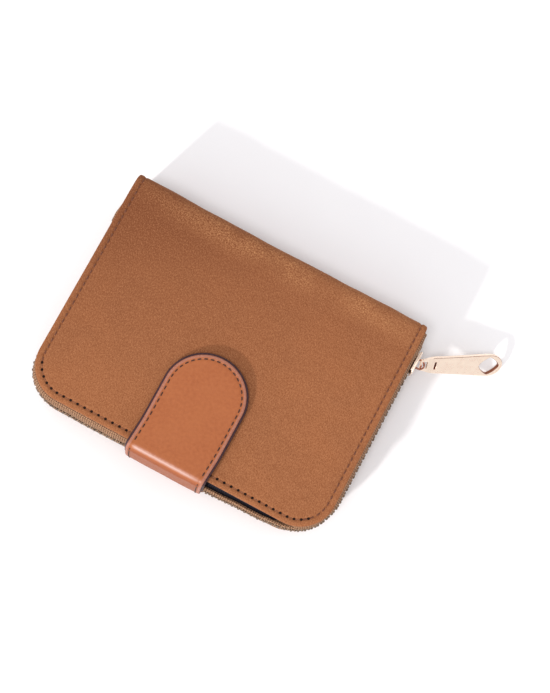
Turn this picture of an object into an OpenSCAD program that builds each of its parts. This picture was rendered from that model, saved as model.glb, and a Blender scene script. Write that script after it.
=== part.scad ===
// Zip-around bifold wallet with a leather closing tab, a press snap, a zip
// that runs round three sides and a long flat zip puller.
// Lying closed on its back: +X along the spine, towards the zip puller,
// +Y from the zip edge to the spine, +Z up. Millimetres.

/* [Body] */
// Width of the covers along the spine
body_w = 120; // [114:1:130]
// Depth of the covers from the zip edge to the outer face of the spine
body_d = 87; // [84:1:96]
// Thickness of the closed wallet over the two covers
body_h = 24; // [22:0.5:28]
// Radius of the two cover corners on the zip edge
corner_r = 14; // [10:0.5:18]

/* [Covers] */
// Thickness of the suede cover
cover_t = 1.4; // [1.2:0.1:1.6]
// Thickness of the stiffening board behind each cover
board_t = 0.8; // [0.6:0.1:0.9]
// Thickness of each lining
lining_t = 0.6; // [0.4:0.1:0.7]
// Distance from the cover's edge to the middle of its stitch line
stitch_in = 2.5; // [2.2:0.1:3]
// Width of the sewing thread
thread_w = 0.6; // [0.4:0.1:0.8]

/* [Pockets] */
// Width of the card slots, for an 85.6 mm card
slot_w = 94; // [90:1:98]
// Thickness of each pocket panel
pocket_t = 0.6; // [0.4:0.1:0.7]
// Distance from one card slot's mouth to the next
slot_step = 13; // [10:1:14]

/* [Zip] */
// Thickness of the zip tape
tape_t = 0.6; // [0.5:0.05:0.65]
// Distance from one tooth to the next on the same tape
tooth_pitch = 2.6; // [2.6:0.1:3]
// Thickness of the chain of teeth, across the tape
chain_t = 1.8; // [1.6:0.1:1.8]
// Length of the slider along the zip
slider_l = 9; // [8:0.5:9]
// Width of the slider across the zip
slider_w = 8.4; // [8:0.2:8.6]

/* [Tab] */
// Width of the closing tab
tab_w = 30; // [24:1:34]
// Distance from the wallet's centre line to the rounded end of the tab
tab_end = 2.5; // [0:0.5:6]
// Height of the underside of the tab above the front cover
tab_gap = 2; // [2:0.1:2.4]
// Thickness of the tab's outer leather
tab_t = 1.1; // [1:0.1:1.3]
// Radius of the snap's two plates
snap_r = 7; // [6:0.5:8]

/* [Puller] */
// Length of the puller from its swing axis to its rounded end
pull_l = 33.8; // [30:0.2:34]
// Greatest width of the puller
pull_w = 9; // [8.4:0.2:9.6]
// Thickness of the puller
pull_t = 1.6; // [1.4:0.1:1.7]
// Angle of the puller away from the wallet's side, seen from above
pull_turn = 31.5; // [24:0.5:32]
// Angle by which the puller slopes down to the table
pull_droop = 16.8; // [14:0.2:16.8]
// Angle by which the puller leans about its own length
pull_lean = 42; // [30:1:42]

/* [Hidden] */
$fn = 64;
eps = 0.01;

hx = body_w / 2;              // half width of the covers
y0 = -body_d / 2;             // zip edge of the covers
y1 = body_d / 2;              // outer face of the spine
cx = hx - corner_r;           // centres of the two rounded corners
cy = y0 + corner_r;
z_mid = body_h / 2;

flange_t = 0.5;               // tape's sewn-in edge
z_board = cover_t;
z_flange = cover_t + board_t;
z_lining = z_flange + flange_t;
z_pocket = z_lining + lining_t;
y_spine_in = y1 - cover_t;    // inner face of the spine's suede
y_fold = y_spine_in - 0.9;    // linings and tapes end short of the spine

chain_out = 1;                // middle of the chain beyond the cover's edge
z_tape = z_mid - 2;           // free edge of the lower tape
tape_end = 40;                // tapes run this far towards the spine
teeth_right = 33;             // last tooth, inside the slider
teeth_left = 25;              // first tooth, on the other side
tooth_w = 1.1;
tooth_h = 2.9;

suede = [0.63, 0.40, 0.26];
leather = [0.74, 0.44, 0.28];
cloth = [0.45, 0.29, 0.19];
thread = [0.26, 0.13, 0.09];
gold = [0.88, 0.68, 0.55];
chain_gold = [0.70, 0.58, 0.45];
boardc = [0.62, 0.60, 0.56];

// Plan outline of a cover, set in by i and ending at y = yt.
module outline(i, yt) {
  translate([-(hx - i), cy]) square([2 * (hx - i), yt - cy]);
  translate([-cx, y0 + i]) square([2 * cx, corner_r - i]);
  for (s = [-1, 1]) translate([s * cx, cy]) circle(corner_r - i);
}
// Open band round three sides, from inset i to inset j.
module band(i, j, yt) {
  difference() {
    outline(i, yt);
    outline(j, yt + 1);
  }
}
module slab(z0, z1) { translate([0, 0, z0]) linear_extrude(z1 - z0) children(); }
// Turns a back half into the matching front half.
module flip() { translate([0, 0, body_h]) mirror([0, 0, 1]) children(); }

// ---- path of the zip chain, as a length from the left end ----
pr = corner_r + chain_out;
len_a = teeth_left - cy;
len_b = pr * PI / 2;
len_c = 2 * cx;
len_e = teeth_right - cy;
len_all = len_a + 2 * len_b + len_c + len_e;
function path_at(s) =
  s < len_a ? [-(cx + pr), teeth_left - s, 180] :
  s < len_a + len_b ? let (a = 180 + 90 * (s - len_a) / len_b)
    [-cx + pr * cos(a), cy + pr * sin(a), a] :
  s < len_a + len_b + len_c ? [-cx + s - len_a - len_b, cy - pr, 270] :
  s < len_a + 2 * len_b + len_c ?
    let (a = 270 + 90 * (s - len_a - len_b - len_c) / len_b)
    [cx + pr * cos(a), cy + pr * sin(a), a] :
  [cx + pr, cy + s - len_a - 2 * len_b - len_c, 360];
// A row of teeth whose feet stand on the tape edge at height z.
module teeth(first, z, up) {
  for (s = [first : tooth_pitch : len_all]) {
    p = path_at(s);
    translate([p[0], p[1], up > 0 ? z : z - tooth_h]) rotate([0, 0, p[2]])
      translate([-chain_t / 2, -tooth_w / 2, 0])
        cube([chain_t, tooth_w, tooth_h]);
  }
}

// ---- back half ----
module back_cover() {
  color(suede) difference() {
    slab(0, cover_t) outline(0, y1);
    slab(-eps, 0.35) band(stitch_in - 0.4, stitch_in + 0.4, y_fold);
  }
}
module board_shape(hole) {
  difference() {
    slab(z_board, z_flange) outline(3, y_fold - 1);
    if (hole == 0) translate([-tab_w / 2 + 0.5, y0 - 1, 0])
      cube([tab_w - 1, 16, 5]);
    else translate([0, snap_y, 0]) cylinder(r = hole, h = 5);
  }
}
module back_board() { color(boardc) board_shape(0); }
module back_lining() {
  color(cloth) slab(z_lining, z_pocket) outline(0.5, y_fold);
}
module card_slot(n) {
  translate([-slot_w / 2, y0 + 6, z_pocket + n * pocket_t])
    cube([slot_w, 64 - n * slot_step, pocket_t]);
}
module card_slot_rear() { color(leather) card_slot(0); }
module card_slot_middle() { color(suede) card_slot(1); }
module card_slot_front() { color(leather) card_slot(2); }
module tape_shape() {
  slab(z_flange, z_tape)
    band(-chain_out - tape_t / 2, -chain_out + tape_t / 2, tape_end);
  slab(z_flange, z_lining) band(-chain_out, 5, tape_end);
}
module zip_tape_lower() { color(cloth) tape_shape(); }
module zip_teeth_lower() { color(chain_gold) teeth(0.6, z_tape, 1); }
module stop_shape() {
  translate([hx + chain_out - 0.8, 37.6, z_tape]) cube([1.6, 1.6, 1.4]);
}
module zip_stop_lower() { color(chain_gold) stop_shape(); }
module zip_bottom_stop() {
  color(chain_gold) translate([-hx - chain_out - 0.8, teeth_left + 1, z_tape])
    cube([1.6, 2, 3.75]);
}
module back_stitching() {
  color(thread) slab(0.1, 0.35)
    band(stitch_in - thread_w / 2, stitch_in + thread_w / 2, y_fold - 0.5);
}
module tab_anchor() {
  color(leather) translate([-tab_w / 2 + 1, y0 - 1.8, z_board])
    cube([tab_w - 2, 16, board_t]);
}

// ---- spine ----
crease_gap = 0.25;
module spine_panel() {
  color(suede) translate([-hx, y_spine_in, cover_t + crease_gap])
    cube([body_w, cover_t, body_h - 2 * (cover_t + crease_gap)]);
}
module spine_lining() {
  color(cloth) translate([-hx + 3, y_spine_in - lining_t, z_pocket])
    cube([body_w - 6, lining_t, body_h - 2 * z_pocket]);
}

// ---- front half ----
snap_y = -tab_end - tab_w / 2;
post_r = 1.5;
module front_cover() {
  color(suede) difference() {
    flip() slab(0, cover_t) outline(0, y1);
    translate([0, snap_y, body_h - 3]) cylinder(r = post_r, h = 4);
  }
}
module front_board() { color(boardc) flip() board_shape(snap_r - 0.8); }
module front_lining() {
  color(cloth) flip() slab(z_lining, z_pocket) outline(0.5, y_fold);
}
module slip_pocket() {
  color(suede) flip() translate([-52, y0 + 6, z_pocket])
    cube([104, 68, pocket_t]);
}
win_w = 82;
win_d = 40;
module id_window_frame() {
  color(leather) flip() difference() {
    translate([-slot_w / 2, y0 + 6, z_pocket + pocket_t])
      cube([slot_w, 52, pocket_t]);
    translate([-win_w / 2, y0 + 12, z_pocket])
      cube([win_w, win_d, 3]);
  }
}
module id_window() {
  color([0.8, 0.85, 0.9, 0.35]) flip()
    translate([-win_w / 2, y0 + 12, z_pocket + pocket_t])
      cube([win_w, win_d, 0.3]);
}
module zip_tape_upper() { color(cloth) flip() tape_shape(); }
module zip_teeth_upper() {
  color(chain_gold)
    teeth(0.6 + tooth_pitch / 2, body_h - z_tape, -1);
}
module zip_stop_upper() { color(chain_gold) flip() stop_shape(); }
module front_stitching() {
  color(thread) slab(body_h, body_h + 0.2)
    band(stitch_in - thread_w / 2, stitch_in + thread_w / 2, y_fold - 0.5);
}
z_top = body_h;
z_tab = z_top + tab_gap;
module snap_stud() {
  color(gold) translate([0, snap_y, 0]) {
    translate([0, 0, z_top]) cylinder(r = snap_r, h = 0.9);
    translate([0, 0, z_top + 0.8]) cylinder(r = 2.2, h = 1.1);
    translate([0, 0, z_top - cover_t - board_t])
      cylinder(r = post_r - 0.05, h = cover_t + board_t + 0.1);
  }
}
module snap_stud_washer() {
  color(gold) translate([0, snap_y, z_top - cover_t - board_t])
    difference() {
      cylinder(r = snap_r - 1, h = board_t);
      translate([0, 0, -1]) cylinder(r = post_r, h = 3);
    }
}

// ---- tab ----
tab_lin = 0.5;
y_tab = y0 - chain_out - chain_t / 2 - 0.15;  // inner face of the tab's riser
riser_z0 = 2.3;
module tab_riser() {
  color(leather) translate([-tab_w / 2, y_tab - tab_lin - tab_t, riser_z0])
    cube([tab_w, tab_t, z_tab - 0.3 - riser_z0]);
}
module tab_riser_lining() {
  color(suede) translate([-tab_w / 2, y_tab - tab_lin, riser_z0])
    cube([tab_w, tab_lin, z_tab - 0.3 - riser_z0]);
}
module tab_riser_stitching() {
  color(thread) for (s = [-1, 1])
    translate([s * (tab_w / 2 - 1.8) - 0.25,
               y_tab - tab_lin - tab_t - 0.15, riser_z0 + 0.5])
      cube([0.5, 0.15, z_tab - 1.3 - riser_z0]);
}
module flap_outline(i) {
  translate([-tab_w / 2 + i, y_tab])
    square([tab_w - 2 * i, -tab_end - tab_w / 2 - y_tab]);
  translate([0, -tab_end - tab_w / 2]) circle(tab_w / 2 - i);
}
module tab_flap() {
  color(leather) slab(z_tab + tab_lin, z_tab + tab_lin + tab_t) flap_outline(0);
}
module tab_flap_lining() {
  color(suede) difference() {
    slab(z_tab, z_tab + tab_lin) flap_outline(0);
    translate([0, snap_y, z_tab - 1]) cylinder(r = 5.2, h = 3);
  }
}
module tab_stitching() {
  color(thread) slab(z_tab + tab_lin + tab_t, z_tab + tab_lin + tab_t + 0.15)
    difference() {
      flap_outline(1.55);
      union() {
        flap_outline(2.05);
        translate([0, -1]) flap_outline(2.05);
      }
    }
}
module snap_socket() {
  color(gold) translate([0, snap_y, z_tab - 0.95]) difference() {
    cylinder(r = snap_r, h = 0.95);
    translate([0, 0, -1]) cylinder(r = 2.5, h = 3);
  }
}
module snap_socket_washer() {
  color(gold) translate([0, snap_y, z_tab]) difference() {
    cylinder(r = 5, h = 0.5);
    translate([0, 0, -1]) cylinder(r = 2.5, h = 3);
  }
}

// ---- slider and puller ----
s_y = 28;                                     // slider's tail end
ch_x = hx + chain_out;                        // middle of the chain
gap = 0.2;
plate_t = 0.8;
x_in = ch_x - chain_t / 2 - gap;              // inner plate's face
x_out = ch_x + chain_t / 2 + gap;             // outer plate's face
lip_x = tape_t / 2 + 0.3;                     // lips stay this far from middle
module slider_body() {
  z0 = z_mid - slider_w / 2;
  color(gold) {
    translate([x_out, s_y, z0]) cube([plate_t, slider_l, slider_w]);
    translate([x_in - plate_t, s_y, z0]) cube([plate_t, slider_l, slider_w]);
    for (z = [z0, z0 + slider_w - 1.2]) {
      translate([ch_x + lip_x, s_y, z])
        cube([x_out - ch_x - lip_x + 0.1, slider_l, 1.2]);
      translate([x_in - 0.1, s_y, z])
        cube([ch_x - lip_x - x_in + 0.1, slider_l, 1.2]);
    }
    translate([x_in - 0.1, s_y + slider_l - 2.6, z_mid - 1])
      cube([x_out - x_in + 0.2, 2, 2]);
  }
}
piv_x = x_out + plate_t + 1.2;
piv_y = s_y + 5;
bail_in = 1.35;
bail_out = 1.95;
module slider_bail() {
  color(gold) translate([piv_x, piv_y, z_mid - 0.45]) difference() {
    union() {
      cylinder(r = bail_out, h = 0.9);
      translate([-1.2, -bail_out, 0]) cube([1.2, 2 * bail_out, 0.9]);
    }
    translate([0, 0, -1]) cylinder(r = bail_in, h = 3);
    translate([-2.2, -bail_in, -1]) cube([2.2, 2 * bail_in, 3]);
    translate([-bail_out - 2, -5, -1]) cube([bail_out + 0.8, 10, 3]);
  }
}
pull_up = 0.25;   // the eye sits this far above the bail's middle
bar_end = 0.7;   // outer side of the bar that runs under the bail
eye_t = 0.7;      // thickness of the eye
// Half width of the puller at distance x from its swing axis.
function smooth(a, b, x) = let (t = min(1, max(0, (x - a) / (b - a))))
  t * t * (3 - 2 * t);
tip_a = 5.4;
function pull_half(x) = x > pull_l - tip_a ?
  pull_w / 2 * sqrt(max(0, 1 - pow((x - pull_l + tip_a) / tip_a, 2))) :
  2.1 + 1.1 * smooth(3, 5.5, x) + 0.5 * smooth(5, 18, x)
  + (pull_w / 2 - 3.7) * smooth(15, pull_l - tip_a, x);
pull_xs = concat([for (x = [0.1 : 0.9 : pull_l - tip_a - 0.2]) x],
  [for (a = [0 : 7.5 : 90]) pull_l - tip_a + tip_a * sin(a)]);
module pull_plan() {
  polygon(concat([for (x = pull_xs) [x, pull_half(x)]],
    [for (i = [len(pull_xs) - 2 : -1 : 0])
      [pull_xs[i], -pull_half(pull_xs[i])]]));
}
// Soft-cornered diamond hole near the puller's end.
function sgn_pow(v, e) = sign(v) * pow(abs(v), e);
module diamond(a, b) {
  polygon([for (t = [0 : 11.25 : 348.75])
    [a * sgn_pow(cos(t), 1.5), b * sgn_pow(sin(t), 1.5)]]);
}
module puller() {
  color(gold) translate([piv_x, piv_y, z_mid + pull_up])
    rotate([0, 0, pull_turn]) rotate([0, pull_droop, 0])
      rotate([pull_lean, 0, 0]) difference() {
        translate([0, 0, -pull_t / 2]) linear_extrude(pull_t) pull_plan();
        // eye, thinner than the blade, that the bail passes through
        translate([bar_end, -1.45, -2]) cube([2.9 - bar_end, 2.9, 4]);
        for (s = [-1, 1]) translate([-1, -4, s > 0 ? eye_t / 2 : -2 - eye_t / 2])
          cube([4.2, 8, 2]);
        translate([5.6, -1.5, -2]) cube([0.7, 3, 4]);
        translate([pull_l - 5.6, 0, -2]) linear_extrude(4) diamond(4.1, 3.6);
      }
}

back_cover();
back_board();
back_lining();
card_slot_rear();
card_slot_middle();
card_slot_front();
zip_tape_lower();
zip_teeth_lower();
zip_stop_lower();
zip_bottom_stop();
back_stitching();
tab_anchor();
spine_panel();
spine_lining();
front_cover();
front_board();
front_lining();
slip_pocket();
id_window_frame();
id_window();
zip_tape_upper();
zip_teeth_upper();
zip_stop_upper();
front_stitching();
snap_stud();
snap_stud_washer();
tab_riser();
tab_riser_lining();
tab_riser_stitching();
tab_flap();
tab_flap_lining();
tab_stitching();
snap_socket();
snap_socket_washer();
slider_body();
slider_bail();
puller();
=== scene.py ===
import math

import bmesh
import bpy
import numpy as np
from mathutils import Matrix, Vector


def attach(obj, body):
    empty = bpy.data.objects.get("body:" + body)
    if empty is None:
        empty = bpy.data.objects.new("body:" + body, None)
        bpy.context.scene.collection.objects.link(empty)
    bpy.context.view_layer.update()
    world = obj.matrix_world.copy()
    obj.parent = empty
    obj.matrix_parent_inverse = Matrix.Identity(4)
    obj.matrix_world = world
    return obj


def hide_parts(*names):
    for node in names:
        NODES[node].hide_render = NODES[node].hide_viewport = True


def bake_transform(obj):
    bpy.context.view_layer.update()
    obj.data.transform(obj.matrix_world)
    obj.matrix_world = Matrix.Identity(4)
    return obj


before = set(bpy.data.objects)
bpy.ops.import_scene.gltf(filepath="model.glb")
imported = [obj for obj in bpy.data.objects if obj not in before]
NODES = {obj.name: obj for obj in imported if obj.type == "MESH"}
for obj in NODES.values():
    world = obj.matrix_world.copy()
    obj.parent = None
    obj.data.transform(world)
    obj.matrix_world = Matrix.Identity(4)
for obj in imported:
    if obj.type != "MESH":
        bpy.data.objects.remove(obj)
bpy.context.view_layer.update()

MM = 0.001

# ------------------------------------------------------------------ colours


def lin(r, g, b):
    out = []
    for c in (r, g, b):
        c /= 255.0
        out.append(c / 12.92 if c <= 0.04045 else ((c + 0.055) / 1.055) ** 2.4)
    return (*out, 1.0)


# ---------------------------------------------------------------- materials


class Mat:
    """A small helper round a material's nodes. Texture space is in millimetres."""

    def __init__(self, name, space="UV"):
        self.m = bpy.data.materials.new(name)
        self.m.use_nodes = True
        self.nt = self.m.node_tree
        self.nt.nodes.clear()
        self.out = self.nt.nodes.new("ShaderNodeOutputMaterial")
        self.b = self.nt.nodes.new("ShaderNodeBsdfPrincipled")
        self.nt.links.new(self.b.outputs[0], self.out.inputs[0])
        tc = self.nt.nodes.new("ShaderNodeTexCoord")
        mp = self.nt.nodes.new("ShaderNodeMapping")
        if space == "UV":
            self.nt.links.new(tc.outputs["UV"], mp.inputs[0])
        else:
            self.nt.links.new(tc.outputs["Object"], mp.inputs[0])
            mp.inputs["Scale"].default_value = (1000, 1000, 1000)
        self.vec = mp.outputs[0]

    def set(self, **kw):
        names = {
            "color": "Base Color", "rough": "Roughness", "metal": "Metallic",
            "spec": "Specular IOR Level", "sheen": "Sheen Weight",
            "sheen_rough": "Sheen Roughness", "sheen_tint": "Sheen Tint",
            "coat": "Coat Weight", "coat_rough": "Coat Roughness",
            "trans": "Transmission Weight", "ior": "IOR", "alpha": "Alpha",
            "aniso": "Anisotropic",
        }
        for k, v in kw.items():
            self.b.inputs[names[k]].default_value = v
        return self

    def stretch(self, sx, sy, sz=1.0, rot=0.0):
        mp = self.nt.nodes.new("ShaderNodeMapping")
        mp.inputs["Scale"].default_value = (sx, sy, sz)
        mp.inputs["Rotation"].default_value = (0, 0, rot)
        self.nt.links.new(self.vec, mp.inputs[0])
        return mp.outputs[0]

    def noise(self, scale, detail=3.0, rough=0.55, dist=0.0, vec=None):
        n = self.nt.nodes.new("ShaderNodeTexNoise")
        n.inputs["Scale"].default_value = scale
        n.inputs["Detail"].default_value = detail
        n.inputs["Roughness"].default_value = rough
        n.inputs["Distortion"].default_value = dist
        self.nt.links.new(vec or self.vec, n.inputs["Vector"])
        return n.outputs["Fac"]

    def voronoi(self, scale, vec=None, feature="F1", rnd=1.0):
        n = self.nt.nodes.new("ShaderNodeTexVoronoi")
        n.feature = feature
        n.inputs["Scale"].default_value = scale
        n.inputs["Randomness"].default_value = rnd
        self.nt.links.new(vec or self.vec, n.inputs["Vector"])
        return n.outputs["Distance"]

    def wave(self, scale, axis="X", dist=0.0, vec=None, dscale=1.0):
        n = self.nt.nodes.new("ShaderNodeTexWave")
        n.bands_direction = axis
        n.inputs["Scale"].default_value = scale
        n.inputs["Distortion"].default_value = dist
        n.inputs["Detail Scale"].default_value = dscale
        self.nt.links.new(vec or self.vec, n.inputs["Vector"])
        return n.outputs["Fac"]

    def math(self, op, a, b=None, clamp=False):
        n = self.nt.nodes.new("ShaderNodeMath")
        n.operation = op
        n.use_clamp = clamp
        for k, v in enumerate((a, b)):
            if v is None:
                continue
            if isinstance(v, (int, float)):
                n.inputs[k].default_value = v
            else:
                self.nt.links.new(v, n.inputs[k])
        return n.outputs[0]

    def ramp(self, fac, stops):
        n = self.nt.nodes.new("ShaderNodeValToRGB")
        el = n.color_ramp.elements
        while len(el) < len(stops):
            el.new(0.5)
        for e, (p, c) in zip(el, stops):
            e.position = p
            e.color = c if len(c) == 4 else (*c, 1)
        self.nt.links.new(fac, n.inputs[0])
        return n.outputs[0]

    def mix(self, fac, a, b, blend="MIX"):
        n = self.nt.nodes.new("ShaderNodeMix")
        n.data_type = "RGBA"
        n.blend_type = blend
        for sock, v in ((n.inputs[0], fac), (n.inputs[6], a), (n.inputs[7], b)):
            if isinstance(v, (int, float)):
                sock.default_value = v
            elif isinstance(v, tuple):
                sock.default_value = v
            else:
                self.nt.links.new(v, sock)
        return n.outputs[2]

    def range(self, v, a, b, c, d):
        n = self.nt.nodes.new("ShaderNodeMapRange")
        self.nt.links.new(v, n.inputs[0])
        for k, x in enumerate((a, b, c, d)):
            n.inputs[k + 1].default_value = x
        return n.outputs[0]

    def sep(self, vec=None):
        n = self.nt.nodes.new("ShaderNodeSeparateXYZ")
        self.nt.links.new(vec or self.vec, n.inputs[0])
        return n.outputs

    def link(self, sock, name):
        self.nt.links.new(sock, self.b.inputs[name])
        return self

    def bump(self, h, strength=0.3, dist=0.1):
        """dist in millimetres"""
        n = self.nt.nodes.new("ShaderNodeBump")
        n.inputs["Strength"].default_value = strength
        n.inputs["Distance"].default_value = dist * MM
        self.nt.links.new(h, n.inputs["Height"])
        self.nt.links.new(n.outputs[0], self.b.inputs["Normal"])
        return self


def suede_mat(name, base, spine_from=None):
    """Brushed suede: mottled nap at three scales, fibre bump, sheen."""
    r, g, b = base
    k = Mat(name)
    big = k.noise(0.05, 2.0, 0.5, 0.6)
    mid = k.noise(0.36, 4.0, 0.62, 0.4)
    grain = k.noise(1.9, 2.0, 0.7, 0.2, vec=k.stretch(1.25, 0.75, 1, 0.45))
    fine = k.noise(3.0, 3.0, 0.7)
    fibre = k.noise(1.0, 3.0, 0.65, 0.3, vec=k.stretch(4.6, 1.7, 1, 0.5))
    c = k.ramp(mid, [(0.30, lin(r - 9, g - 8, b - 7)), (0.70, lin(r + 7, g + 6, b + 5))])
    c = k.mix(k.range(big, 0.35, 0.65, 0.0, 0.5), c, lin(r + 8, g + 4, b + 1))
    sx, sv = k.sep()[0], k.sep()[1]
    # painted shade: the suede is coloured darker towards the spine fold and the left end, where the light falls off
    spine_shade_ramp = k.math("SUBTRACT", sv, k.math("MULTIPLY", sx, 0.45))
    c = k.mix(k.range(spine_shade_ramp, 30.0, 112.0, 0.0, 0.95), c, lin(r - 32, g - 26, b - 19))
    c = k.mix(k.range(spine_shade_ramp, 74.0, 104.0, 0.0, 0.75), c, lin(r - 44, g - 37, b - 27))
    c = k.mix(k.range(grain, 0.32, 0.54, 0.55, 0.0), c, lin(r - 34, g - 29, b - 23))
    c = k.mix(k.range(grain, 0.48, 0.70, 0.0, 0.48), c, lin(min(r + 34, 255), g + 32, b + 25))
    c = k.mix(k.range(fine, 0.36, 0.56, 0.5, 0.0), c, lin(r - 44, g - 38, b - 31))
    c = k.mix(k.range(fibre, 0.56, 0.74, 0.0, 0.62), c, lin(min(r + 34, 255), g + 33, b + 26))
    k.set(rough=0.93, spec=0.16, sheen=0.16, sheen_rough=0.45, sheen_tint=lin(232, 190, 150))
    h = k.math("ADD", k.math("MULTIPLY", fine, 0.7), k.math("MULTIPLY", fibre, 0.5))
    h = k.math("ADD", h, k.math("MULTIPLY", grain, 0.9))
    h = k.math("ADD", h, k.math("MULTIPLY", mid, 0.5))
    if spine_from is not None:
        # slightly shiny nap along the fold (lower roughness), with painted highlight: pale specks in a band along it;
        # painted shade on the darker turn beyond it
        band = k.math("MULTIPLY", k.range(sv, spine_from - 2, spine_from + 5, 0.0, 1.0), k.range(sv, spine_from + 9, spine_from + 13, 1.0, 0.25))
        patch = k.range(k.noise(0.075, 2.0, 0.5, 0.5), 0.38, 0.58, 0.35, 1.0)
        speck = k.range(k.noise(1.7, 3.0, 0.75, 0.4, vec=k.stretch(0.9, 1.3)), 0.47, 0.60, 0.0, 1.0)
        band = k.math("MULTIPLY", band, k.range(sx, -56.0, -26.0, 0.3, 1.0))
        painted_sheen_specks = k.math("MULTIPLY", k.math("MULTIPLY", band, patch), speck)
        c = k.mix(k.math("MULTIPLY", painted_sheen_specks, 0.62), c, lin(r + 42, g + 42, b + 30))
        # painted shade: the suede is coloured darker where it turns away over the spine
        c = k.mix(k.range(sv, spine_from + 9.5, spine_from + 13, 0.0, 0.4), c, lin(r - 26, g - 21, b - 16))
        wr = k.noise(0.5, 3.0, 0.6, 1.2, vec=k.stretch(0.5, 1.5))
        h = k.math("ADD", h, k.math("MULTIPLY", k.math("MULTIPLY", wr, k.range(sv, spine_from, spine_from + 8, 0.0, 1.0)), 1.3))
        k.link(k.range(painted_sheen_specks, 0.0, 1.0, 0.93, 0.7), "Roughness")
    k.link(c, "Base Color")
    k.bump(h, 0.75, 0.16)
    return k.m


def leather_mat(name, base, rough=0.42, coat=0.12, grain=1.0, space="UV", crease=None):
    """Smooth finished leather: pores, fine grain, colour drift."""
    r, g, b = base
    k = Mat(name, space)
    drift = k.noise(0.06, 2.0, 0.5, 0.3)
    mott = k.noise(0.8, 4.0, 0.6)
    cells = k.voronoi(2.3, feature="DISTANCE_TO_EDGE")
    pores = k.voronoi(3.6)
    c = k.ramp(mott, [(0.3, lin(r - 9, g - 9, b - 8)), (0.7, lin(r + 6, g + 5, b + 5))])
    c = k.mix(k.range(drift, 0.35, 0.65, 0.0, 0.5), c, lin(r + 7, g + 8, b + 8))
    c = k.mix(k.range(pores, 0.05, 0.2, 0.28, 0.0), c, lin(r - 40, g - 34, b - 28))
    if crease is not None:
        # painted highlight: a paler line along the crease where the leather turns over the edge
        v = k.sep()[1]
        x = k.sep()[0]
        wob = k.math("ADD", v, k.math("MULTIPLY", k.math("SUBTRACT", mott, 0.5), 0.7))
        line = k.math("MULTIPLY", k.range(wob, crease - 1.1, crease - 0.1, 0.0, 1.0), k.range(wob, crease + 0.1, crease + 1.0, 1.0, 0.0))
        inside = k.math("MULTIPLY", k.range(x, -13.2, -12.0, 0.0, 1.0), k.range(x, 9.0, 13.4, 1.0, 0.35))
        fade = k.range(drift, 0.3, 0.6, 0.7, 1.0)
        # painted shade: the riser below the crease is coloured darker and a little bluer
        c = k.mix(k.range(v, crease + 0.9, crease + 2.2, 0.0, 1.0), c, lin(r - 16, g - 8, b + 6))
        c = k.mix(k.math("MULTIPLY", k.math("MULTIPLY", k.math("MULTIPLY", line, inside), fade), 0.62), c, lin(212, 182, 176))
    k.link(c, "Base Color")
    k.set(spec=0.42, coat=coat, coat_rough=0.28)
    if crease is not None:
        k.link(k.range(v, crease + 0.9, crease + 2.4, 0.42, 0.14), "Specular IOR Level")
        k.link(k.range(v, crease + 0.9, crease + 2.4, coat, 0.0), "Coat Weight")
    k.link(k.range(mott, 0.3, 0.7, rough - 0.06, rough + 0.08), "Roughness")
    h = k.math("ADD", k.math("MULTIPLY", k.range(cells, 0.0, 0.14, 0.0, 1.0), 0.5),
               k.math("MULTIPLY", k.range(pores, 0.03, 0.16, 0.0, 1.0), 0.35))
    h = k.math("ADD", h, k.math("MULTIPLY", mott, 0.8))
    k.bump(h, 0.28 * grain, 0.07)
    return k.m


def edge_mat(name, base, rough=0.5):
    k = Mat(name)
    n = k.noise(1.4, 4.0, 0.6)
    fine = k.noise(5.0, 3.0, 0.6, vec=k.stretch(1, 3))
    r, g, b = base
    c = k.ramp(n, [(0.3, lin(r - 16, g - 15, b - 13)), (0.7, lin(r + 10, g + 10, b + 9))])
    k.link(c, "Base Color")
    k.set(spec=0.4)
    k.link(k.range(fine, 0.3, 0.7, rough - 0.08, rough + 0.12), "Roughness")
    k.bump(k.math("ADD", n, fine), 0.35, 0.08)
    return k.m


def weave_mat(name, dark, light, pitch=0.55, rough=0.8, sheen=0.15, flecks=0.5,
              twill=False, strength=0.8):
    """Woven cloth from two crossed threads, in millimetres of the flat sheet."""
    k = Mat(name)
    f = math.pi / (pitch * 10.0)
    if twill:
        warp = k.wave(f, "DIAGONAL", 0.6)
        weft = k.wave(f * 1.9, "X", 0.8)
    else:
        warp = k.wave(f, "X", 0.9, dscale=2.0)
        weft = k.wave(f, "Y", 0.9, dscale=2.0)
    w = k.math("MULTIPLY", warp, weft)
    hgt = k.math("ADD", k.math("MULTIPLY", w, 1.0), k.math("MULTIPLY", k.math("MAXIMUM", warp, weft), 0.5))
    n = k.noise(1.1, 4.0, 0.7)
    fl = k.noise(2.0, 3.0, 0.7, vec=k.stretch(1.0, 1.6))
    c = k.mix(k.range(hgt, 0.2, 1.1, 0.0, 1.0), dark, light)
    c = k.mix(k.range(n, 0.35, 0.7, 0.0, 0.45), c, dark)
    c = k.mix(k.range(fl, 0.55, 0.68, 0.0, flecks), c, tuple(min(1.0, x * 1.9) for x in light[:3]) + (1,))
    k.link(c, "Base Color")
    k.set(rough=rough, spec=0.2, sheen=sheen, sheen_rough=0.4, sheen_tint=light)
    k.bump(k.math("ADD", hgt, k.math("MULTIPLY", n, 0.5)), strength, 0.16)
    return k.m


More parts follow.
